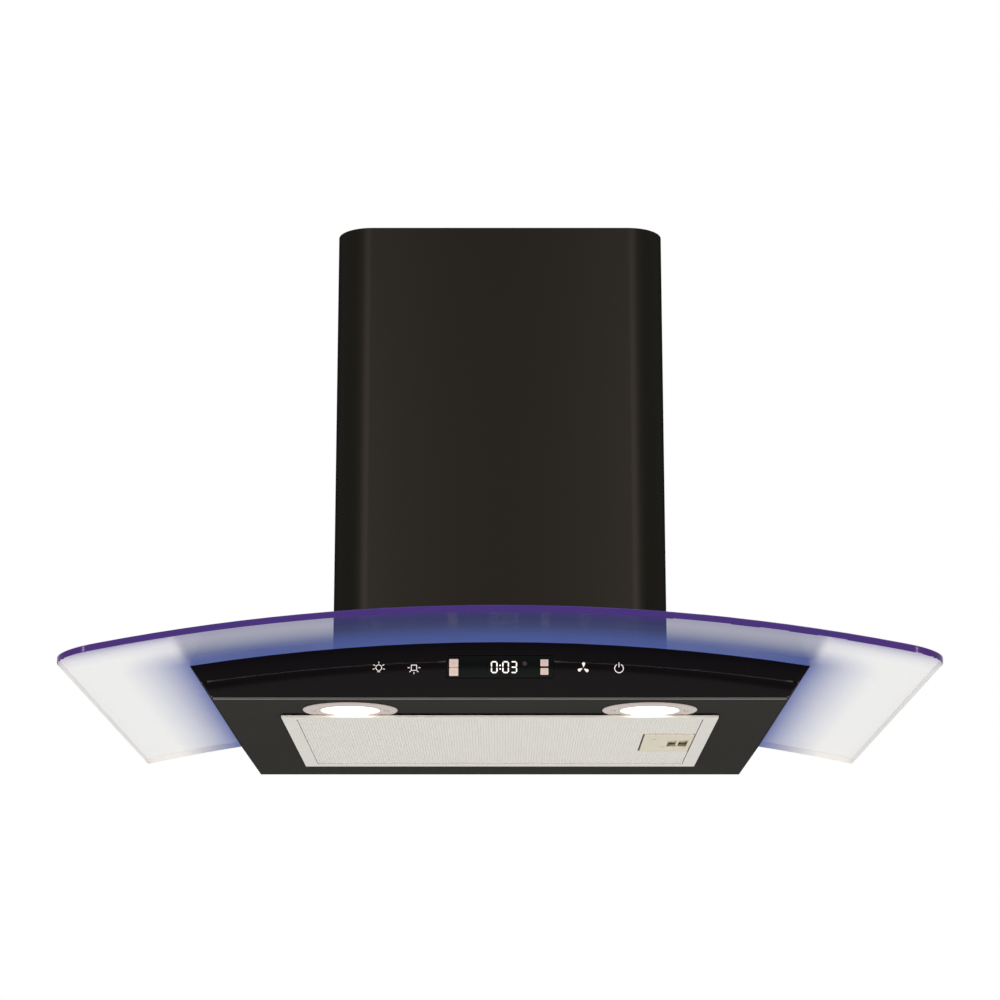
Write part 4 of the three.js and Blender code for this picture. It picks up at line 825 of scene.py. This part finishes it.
class MakeMarks(Maker, bpy.types.Operator):
    """Print the touch symbols, the keys and the clock's digits"""

    bl_idname = "hood.make_marks"
    bl_label = "Touch marks"
    # heights are given above the underside
    LEVEL = 0.0219
    ROUND_LAMP, SQUARE_LAMP, FAN, POWER = -0.0860, -0.0610, 0.0591, 0.0844
    BLADE = ((0.0005, -12), (0.0024, -26), (0.0040, -20), (0.0043, 0), (0.0036, 16), (0.0018, 12))
    KEYS = ((-0.0360, -0.0296, 0.0225, 0.0284, 0.0005), (-0.0360, -0.0296, 0.0163, 0.0222, 0.0005),
            (0.0287, 0.0343, 0.0233, 0.0281, 0.0004), (0.0287, 0.0343, 0.0171, 0.0219, 0.0004))
    DIGITS = (("0", -0.0065), ("0", 0.0016), ("3", 0.0074))
    DIGIT_WIDTH, DIGIT_LOW, DIGIT_HIGH = 0.0048, 0.0183, 0.0269
    SEGMENTS = {"0": "abcdef", "3": "abcdg"}

    def execute(self, context):
        marks = context.scene.hood_marks
        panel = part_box("control_panel")[0].y
        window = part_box("display_window")[0].y
        front, depth = panel - marks.relief, marks.relief + 0.0003
        self.symbols(marks, front, depth)
        self.keys(marks, front, depth)
        self.signs(front - 0.00004, depth)
        self.digits(marks, window - marks.relief, depth)
        self.timer(window - marks.relief, depth)
        return {"FINISHED"}

    def symbols(self, m, front, depth):
        """Two lamps, the fan and the power symbol."""
        level, wide = UNDERSIDE + self.LEVEL, m.stroke * 1.1
        lamp_level = level + 0.0003
        p = Print(front, depth, m.stroke)
        # round lamp with rays
        x, z = self.ROUND_LAMP, lamp_level
        p.arc((x, z), 0.00205, -60, 240)
        for drop in (0.0021, 0.0029):
            p.bar((x - 0.0010, z - drop), (x + 0.0010, z - drop), m.stroke * 0.8)
        self.rays(p, (x, z), 0.0030, (-15, 30, 90, 150, 195))
        # square lamp with rays
        x, r = self.SQUARE_LAMP, 0.0019
        corners = [(x - r, z - r), (x + r, z - r), (x + r, z + r), (x - r, z + r)]
        for start, end in zip(corners, corners[1:] + corners[:1]):
            p.bar(start, end)
        self.rays(p, (x, z), 0.0031, (0, 180, 225, 315, 270))
        # fan with three blades
        for turn in (90, 210, 330):
            p.shape([polar((self.FAN, level), reach, turn + swing) for reach, swing in self.BLADE[::-1]])
        # ring with a gap and a bar
        x = self.POWER
        p.arc((x, level - 0.0002), 0.0031, 118, 422, wide)
        p.bar((x, level + 0.0006), (x, level + 0.0041), wide)
        p.settle("touch_symbols", "white_plastic", lit_print("print_pale", m.ink, 0.35))

    def rays(self, p, centre, start, angles):
        """Short strokes that point away from a lamp."""
        for angle in angles:
            p.bar(polar(centre, start, angle), polar(centre, start + 0.0014, angle))

    def keys(self, m, front, depth):
        """The two-cell key at the left of the clock and the two keys at its right."""
        p = Print(front, depth)
        for x0, x1, z0, z1, corner in self.KEYS:
            p.plate(x0, x1, UNDERSIDE + z0, UNDERSIDE + z1, corner)
        p.settle("touch_keys", "white_plastic", lit_print("key_pale", m.key, 0.16))

    def signs(self, front, depth):
        """A plus and a minus on the left key, and a small dial on each right key."""
        p = Print(front, depth, 0.00034)
        x, reach = -0.0328, 0.0013
        plus, minus = UNDERSIDE + 0.02545, UNDERSIDE + 0.01925
        p.bar((x - reach, plus), (x + reach, plus))
        p.bar((x, plus - reach), (x, plus + reach))
        p.bar((x - reach, minus), (x + reach, minus))
        for z, hand in ((0.0257, (0.0, 0.0010)), (0.0195, (0.0009, 0.0))):
            x, z = 0.0315, UNDERSIDE + z
            p.arc((x, z), 0.0014, steps=20)
            p.bar((x, z), (x + hand[0], z + hand[1]))
        p.settle("key_signs", "white_plastic", lit_print("print_rose", linear(186, 160, 154), 0.15))

    def digits(self, m, front, depth):
        """Clock digits of seven bars each, with two dots."""
        w = m.digit_stroke
        p = Print(front, depth, w)
        low, high = UNDERSIDE + self.DIGIT_LOW + w / 2, UNDERSIDE + self.DIGIT_HIGH - w / 2
        middle, gap = (low + high) / 2, 0.00022
        for sign, x in self.DIGITS:
            left, right = x + w / 2, x + self.DIGIT_WIDTH - w / 2
            places = {
                "a": ((left + gap, high), (right - gap, high)),
                "b": ((right, high - gap), (right, middle + gap)),
                "c": ((right, middle - gap), (right, low + gap)),
                "d": ((left + gap, low), (right - gap, low)),
                "e": ((left, middle - gap), (left, low + gap)),
                "f": ((left, high - gap), (left, middle + gap)),
                "g": ((left + gap, middle), (right - gap, middle)),
            }
            for key in self.SEGMENTS[sign]:
                p.bar(*places[key], pointed=True)
        for z in (middle + 0.0013, middle - 0.0013):
            p.plate(-0.0004, 0.0006, z - 0.0005, z + 0.0005, 0.0002)
        p.settle("clock_digits", "lamp_lens", lit_print("digit_light", m.digit, 0.6))

    def timer(self, front, depth):
        """A small dim timer sign beside the digits."""
        p = Print(front, depth, 0.0004)
        x, z = 0.0175, UNDERSIDE + 0.0252
        p.arc((x, z), 0.0012, width=0.00045, steps=20)
        p.bar((x, z), (x, z + 0.0009))
        p.bar((x, z), (x + 0.0007, z))
        p.settle("timer_sign", "display_glass", lit_print("digit_dim", linear(70, 68, 66), 0.1))


class MakeFilter(Maker, bpy.types.Operator):
    """Make the filter cassette, its pleated fleece and the fine screen in its mouth"""

    bl_idname = "hood.make_filter"
    bl_label = "Grease filter"
    RIM, LIP, SLACK = 0.0108, 0.0034, 0.0004
    BOTTOM = UNDERSIDE - 0.0024

    def execute(self, context):
        scene = context.scene
        refine_all([("filter_frame", "filter_tray", 0.00035), ("filter_mesh", "filter_pleats", 0.0)])
        f = scene.hood_filter
        low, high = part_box("filter_frame")
        x0, x1 = low.x + self.LIP + self.RIM, high.x - self.RIM
        y0, y1 = low.y + self.RIM, high.y - self.RIM
        # the screen goes round the latch
        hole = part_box("latch_plate")
        left, right = hole[0].x - self.SLACK, hole[1].x + self.SLACK
        near, far = hole[0].y - self.SLACK, hole[1].y + self.SLACK
        bm = bmesh.new()
        for span in ((x0, x1, y0, near), (x0, left, near, far), (right, x1, near, far), (x0, x1, far, y1)):
            self.pleats(bm, *span, x0, f)
        screen = from_bmesh(bm, "filter_screen", 60.0)
        finish = screen_finish("screen_fine", scene.hood_finishes.screen, f.pitch)
        settle(screen, "filter", "filter_mesh", finish)
        return {"FINISHED"}

    def pleats(self, bm, x0, x1, y0, y1, origin, f):
        """A zigzag sheet between two places, in step with the others."""
        if x1 - x0 < 0.001:
            return
        half = f.pitch / 2
        first = math.ceil((x0 - origin) / half)
        last = math.floor((x1 - origin) / half)
        line = [(origin + i * half, self.BOTTOM + (i % 2) * f.depth) for i in range(first, last + 1)]
        for height in (0.0, f.sheet):
            rows = [[bm.verts.new((x, y, z + height)) for x, z in line] for y in (y0, y1)]
            for i in range(len(line) - 1):
                bm.faces.new((rows[0][i], rows[0][i + 1], rows[1][i + 1], rows[1][i]))


class MakeLatch(Maker, bpy.types.Operator):
    """Make the latch pocket, its sliding bolt, spring and rivet"""

    bl_idname = "hood.make_latch"
    bl_label = "Filter latch"
    TRAVEL = 0.006      # of the bolt

    def execute(self, context):
        refine_all([("latch_plate", "latch_pocket", 0.0003), ("filter_latch", "latch_bolt", 0.0003)])
        coil = refined("latch_spring", "latch_coil", 0.0)
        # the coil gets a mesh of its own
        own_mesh(coil)
        self.rivet(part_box("latch_plate")[0])
        return {"FINISHED"}

    def rivet(self, corner):
        """A low rivet near the front left corner of the pocket."""
        bm = bmesh.new()
        bmesh.ops.create_circle(bm, cap_ends=True, segments=20, radius=0.0019)
        head = bmesh.ops.extrude_face_region(bm, geom=bm.faces[:])
        points = [v for v in head["geom"] if isinstance(v, bmesh.types.BMVert)]
        bmesh.ops.translate(bm, verts=points, vec=(0, 0, -0.0007))
        bmesh.ops.scale(bm, verts=points, vec=(0.8, 0.8, 1))
        place = (corner.x + 0.0085, corner.y + 0.022, corner.z + 0.0002)
        bmesh.ops.translate(bm, verts=bm.verts, vec=place)
        rivet = from_bmesh(bm, "latch_rivet")
        settle(rivet, "filter", "spring_steel")
        round_edges(rivet, 0.0002)


class MakeLamps(Maker, bpy.types.Operator):
    """Make the lamps: bezel with its screws and inner step, lens and heat sink"""

    bl_idname = "hood.make_lamps"
    bl_label = "Lamps"
    SCREW_OFFSET = 0.0262
    STEP = ((0.0252, 0.0001), (0.0246, -0.0004), (0.0232, -0.0004), (0.0222, 0.0002))

    def execute(self, context):
        for side in ("left", "right"):
            refine_all([(f"lamp_bezel_{side}", f"bezel_ring_{side}", 0.00018),
                        (f"lamp_lens_{side}", f"lamp_glass_{side}", 0.0002),
                        (f"lamp_housing_{side}", f"heat_sink_{side}", 0.0004)])
            low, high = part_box(f"lamp_lens_{side}")
            centre = (low + high) / 2
            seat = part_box(f"lamp_bezel_{side}")[0].z
            bm = bmesh.new()
            for offset in (-self.SCREW_OFFSET, self.SCREW_OFFSET):
                screw(bm, centre.x + offset, centre.y, seat)
            settle(from_bmesh(bm, f"bezel_screws_{side}"), "hood", "spring_steel")
            # a low round step between the bezel and its lens
            bm = bmesh.new()
            rings = [level_ring(bm, centre.x, centre.y, seat + rise, radius, 60)
                     for radius, rise in self.STEP]
            for outer, inner in zip(rings, rings[1:]):
                bridge(bm, outer, inner)
            settle(from_bmesh(bm, f"bezel_step_{side}"), "hood", "lamp_bezel")
        return {"FINISHED"}


class MakeEdgeLights(Maker, bpy.types.Operator):
    """Make the blue light guides under the glass"""

    bl_idname = "hood.make_edge_lights"
    bl_label = "Edge lights"
    def execute(self, context):
        for side in ("left", "right", "front"):
            refined(f"edge_light_{side}", f"guide_{side}", 0.0002)
        return {"FINISHED"}


class MakeFan(Maker, bpy.types.Operator):
    """Make the scroll housing, the wheel, the motor and its bracket"""

    bl_idname = "hood.make_fan"
    bl_label = "Fan"
    def execute(self, context):
        refine_all([("scroll_cheek_front", "scroll_front_cheek", 0.0005),
                    ("scroll_wrap", "scroll_band", 0.0004),
                    ("scroll_cheek_rear", "scroll_rear_cheek", 0.0005),
                    ("impeller_front", "wheel_front", 0.0), ("impeller_disc", "wheel_disc", 0.0003),
                    ("impeller_rear", "wheel_rear", 0.0), ("fan_motor", "motor_can", 0.0005),
                    ("motor_bracket", "motor_spider", 0.0004)])
        return {"FINISHED"}


class MakeDuct(Maker, bpy.types.Operator):
    """Make the duct collar with its two flaps on their pin"""

    bl_idname = "hood.make_duct"
    bl_label = "Duct and flaps"
    def execute(self, context):
        refine_all([("outlet_collar", "duct_collar", 0.0004), ("damper_pin", "flap_pin", 0.0002)])
        for side in ("left", "right"):
            refined(f"damper_flap_{side}", f"flap_{side}_plate", 0.0002)
        return {"FINISHED"}


class MakeElectrics(Maker, bpy.types.Operator):
    """Make the terminal box, its gland and the motor's capacitor"""

    bl_idname = "hood.make_electrics"
    bl_label = "Electrics"
    SCREW_INSET = 0.006

    def execute(self, context):
        refine_all([("terminal_box", "terminal_case", 0.0009), ("cable_gland", "gland_nut", 0.0004),
                    ("capacitor", "capacitor_can", 0.0007)])
        low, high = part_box("terminal_box")
        bm = bmesh.new()
        for x in (low.x + self.SCREW_INSET, high.x - self.SCREW_INSET):
            for y in (low.y + self.SCREW_INSET, high.y - self.SCREW_INSET):
                screw(bm, x, y, 0.0)
        # the heads look up
        for vert in bm.verts:
            vert.co.z = high.z - vert.co.z
        settle(from_bmesh(bm, "terminal_screws"), "hood", "spring_steel")
        return {"FINISHED"}


class MakeMountings(Maker, bpy.types.Operator):
    """Make the fan box, the wall plate and the chimney's wall bracket"""

    bl_idname = "hood.make_mountings"
    bl_label = "Mountings"
    def execute(self, context):
        refine_all([("motor_chassis", "fan_box", 0.0004), ("wall_plate", "hanging_plate", 0.0004),
                    ("chimney_bracket", "wall_bracket", 0.0005)])
        for side in ("left", "right"):
            refined(f"bracket_screw_{side}", f"bracket_bolt_{side}", 0.0003)
        return {"FINISHED"}


class MakeStage(Maker, bpy.types.Operator):
    """Make the floor, the lamps, the white surround and the camera"""

    bl_idname = "hood.make_stage"
    bl_label = "Stage"
    def execute(self, context):
        scene = context.scene
        s = scene.hood_stage
        self.surround(scene, s)
        self.floor(s)
        for name, side in (("lamp_left", -1), ("lamp_right", 1)):
            place, target = (side * 1.5, -3.3, 0.25), (side * 0.1, -0.25, 0.0)
            self.lamp(name, place, target, 0.25, 2.4, s.side_lamp, s.warmth)
        self.lamp("lamp_top", (0.3, -1.2, 2.6), (0.0, -0.2, 0.0), 2.4, 2.4, s.top_lamp)
        data = bpy.data.cameras.new("studio_camera")
        data.sensor_width = 36.0
        data.lens = s.lens
        data.clip_start = 0.05
        camera = bpy.data.objects.new("studio_camera", data)
        camera.location = (0.0, -s.distance, s.height)
        camera.rotation_euler = (math.radians(90) + s.tilt, 0.0, 0.0)
        scene.collection.objects.link(camera)
        scene.camera = camera
        scene.view_settings.view_transform = "Standard"
        return {"FINISHED"}

    def seen(self, r):
        """1 for the rays that show the surround: straight, mirrored or through glass."""
        return (r.node("ShaderNodeLightPath", out="Is Camera Ray")
                | r.node("ShaderNodeLightPath", out="Is Glossy Ray")
                | r.node("ShaderNodeLightPath", out="Is Transmission Ray"))

    def surround(self, scene, s):
        """White where it is seen, and a weaker light from all round."""
        world = bpy.data.worlds.new("studio_surround")
        scene.world = world
        r = Recipe(world, "ShaderNodeOutputWorld")
        fill, white = [r.node("ShaderNodeBackground", values={"Color": grey(1.0), "Strength": strength})
                       for strength in (s.fill, 1.0)]
        r.finish(r.blend(self.seen(r), fill, white))

    def floor(self, s):
        """A pale floor far below the hood, nearly white where it is seen."""
        bm = bmesh.new()
        bmesh.ops.create_grid(bm, x_segments=8, y_segments=8, size=15.0)
        bmesh.ops.translate(bm, verts=bm.verts, vec=(0, 0, s.floor))
        plane = from_bmesh(bm, "studio_floor")
        bpy.context.scene.collection.objects.link(plane)
        r = recipe("floor_pale")
        tone = r.mix(r.noise(0.8, 3.0), grey(0.86), grey(0.89))
        matt = r.principled(tone, 0.9, values={"Specular IOR Level": 0.0})
        white = r.node("ShaderNodeEmission", values={"Color": grey(1.0), "Strength": 1.0})
        plane.data.materials.append(r.finish(r.blend(self.seen(r) * 0.75, matt, white)))

    def lamp(self, name, place, target, width, height, watts, tone=(1.0, 1.0, 1.0)):
        """A soft lamp that looks at a target."""
        data = bpy.data.lights.new(name, "AREA")
        data.shape = "RECTANGLE"
        data.size = width
        data.size_y = height
        data.energy = watts
        data.color = tone
        lamp = bpy.data.objects.new(name, data)
        lamp.location = place
        lamp.rotation_euler = (Vector(target) - Vector(place)).to_track_quat("-Z", "Y").to_euler()
        lamp.visible_camera = False
        bpy.context.scene.collection.objects.link(lamp)


class HoodPanel(bpy.types.Panel):
    """Lists the settings and the operators of the hood"""

    bl_idname = "VIEW3D_PT_hood"
    bl_label = "Curved glass hood"
    bl_space_type = "VIEW_3D"
    bl_region_type = "UI"
    bl_category = "Hood"

    def draw(self, context):
        for operator in OPERATORS:
            self.layout.operator(operator.bl_idname)
        for group, label in GROUPS:
            settings = getattr(context.scene, label)
            box = self.layout.box()
            for name in group.__annotations__:
                box.prop(settings, name)


GROUPS = [(HoodFinishes, "hood_finishes"), (HoodGlass, "hood_glass"), (HoodMarks, "hood_marks"),
          (HoodFilter, "hood_filter"), (HoodStage, "hood_stage")]
OPERATORS = [MakeFinishes, MakeChimney, MakeCanopy, MakeGlass, MakeFascia, MakeMarks, MakeFilter, MakeLatch,
             MakeLamps, MakeEdgeLights, MakeFan, MakeDuct, MakeElectrics, MakeMountings, MakeStage]


def register():
    for group, label in GROUPS:
        bpy.utils.register_class(group)
        setattr(bpy.types.Scene, label, PointerProperty(type=group))
    for operator in OPERATORS:
        bpy.utils.register_class(operator)
    bpy.utils.register_class(HoodPanel)


def unregister():
    bpy.utils.unregister_class(HoodPanel)
    for operator in reversed(OPERATORS):
        bpy.utils.unregister_class(operator)
    for group, label in reversed(GROUPS):
        delattr(bpy.types.Scene, label)
        bpy.utils.unregister_class(group)


def main():
    register()
    for operator in OPERATORS:
        group, name = operator.bl_idname.split(".")
        getattr(getattr(bpy.ops, group), name)()
    bpy.context.view_layer.update()


if __name__ == "__main__":
    main()
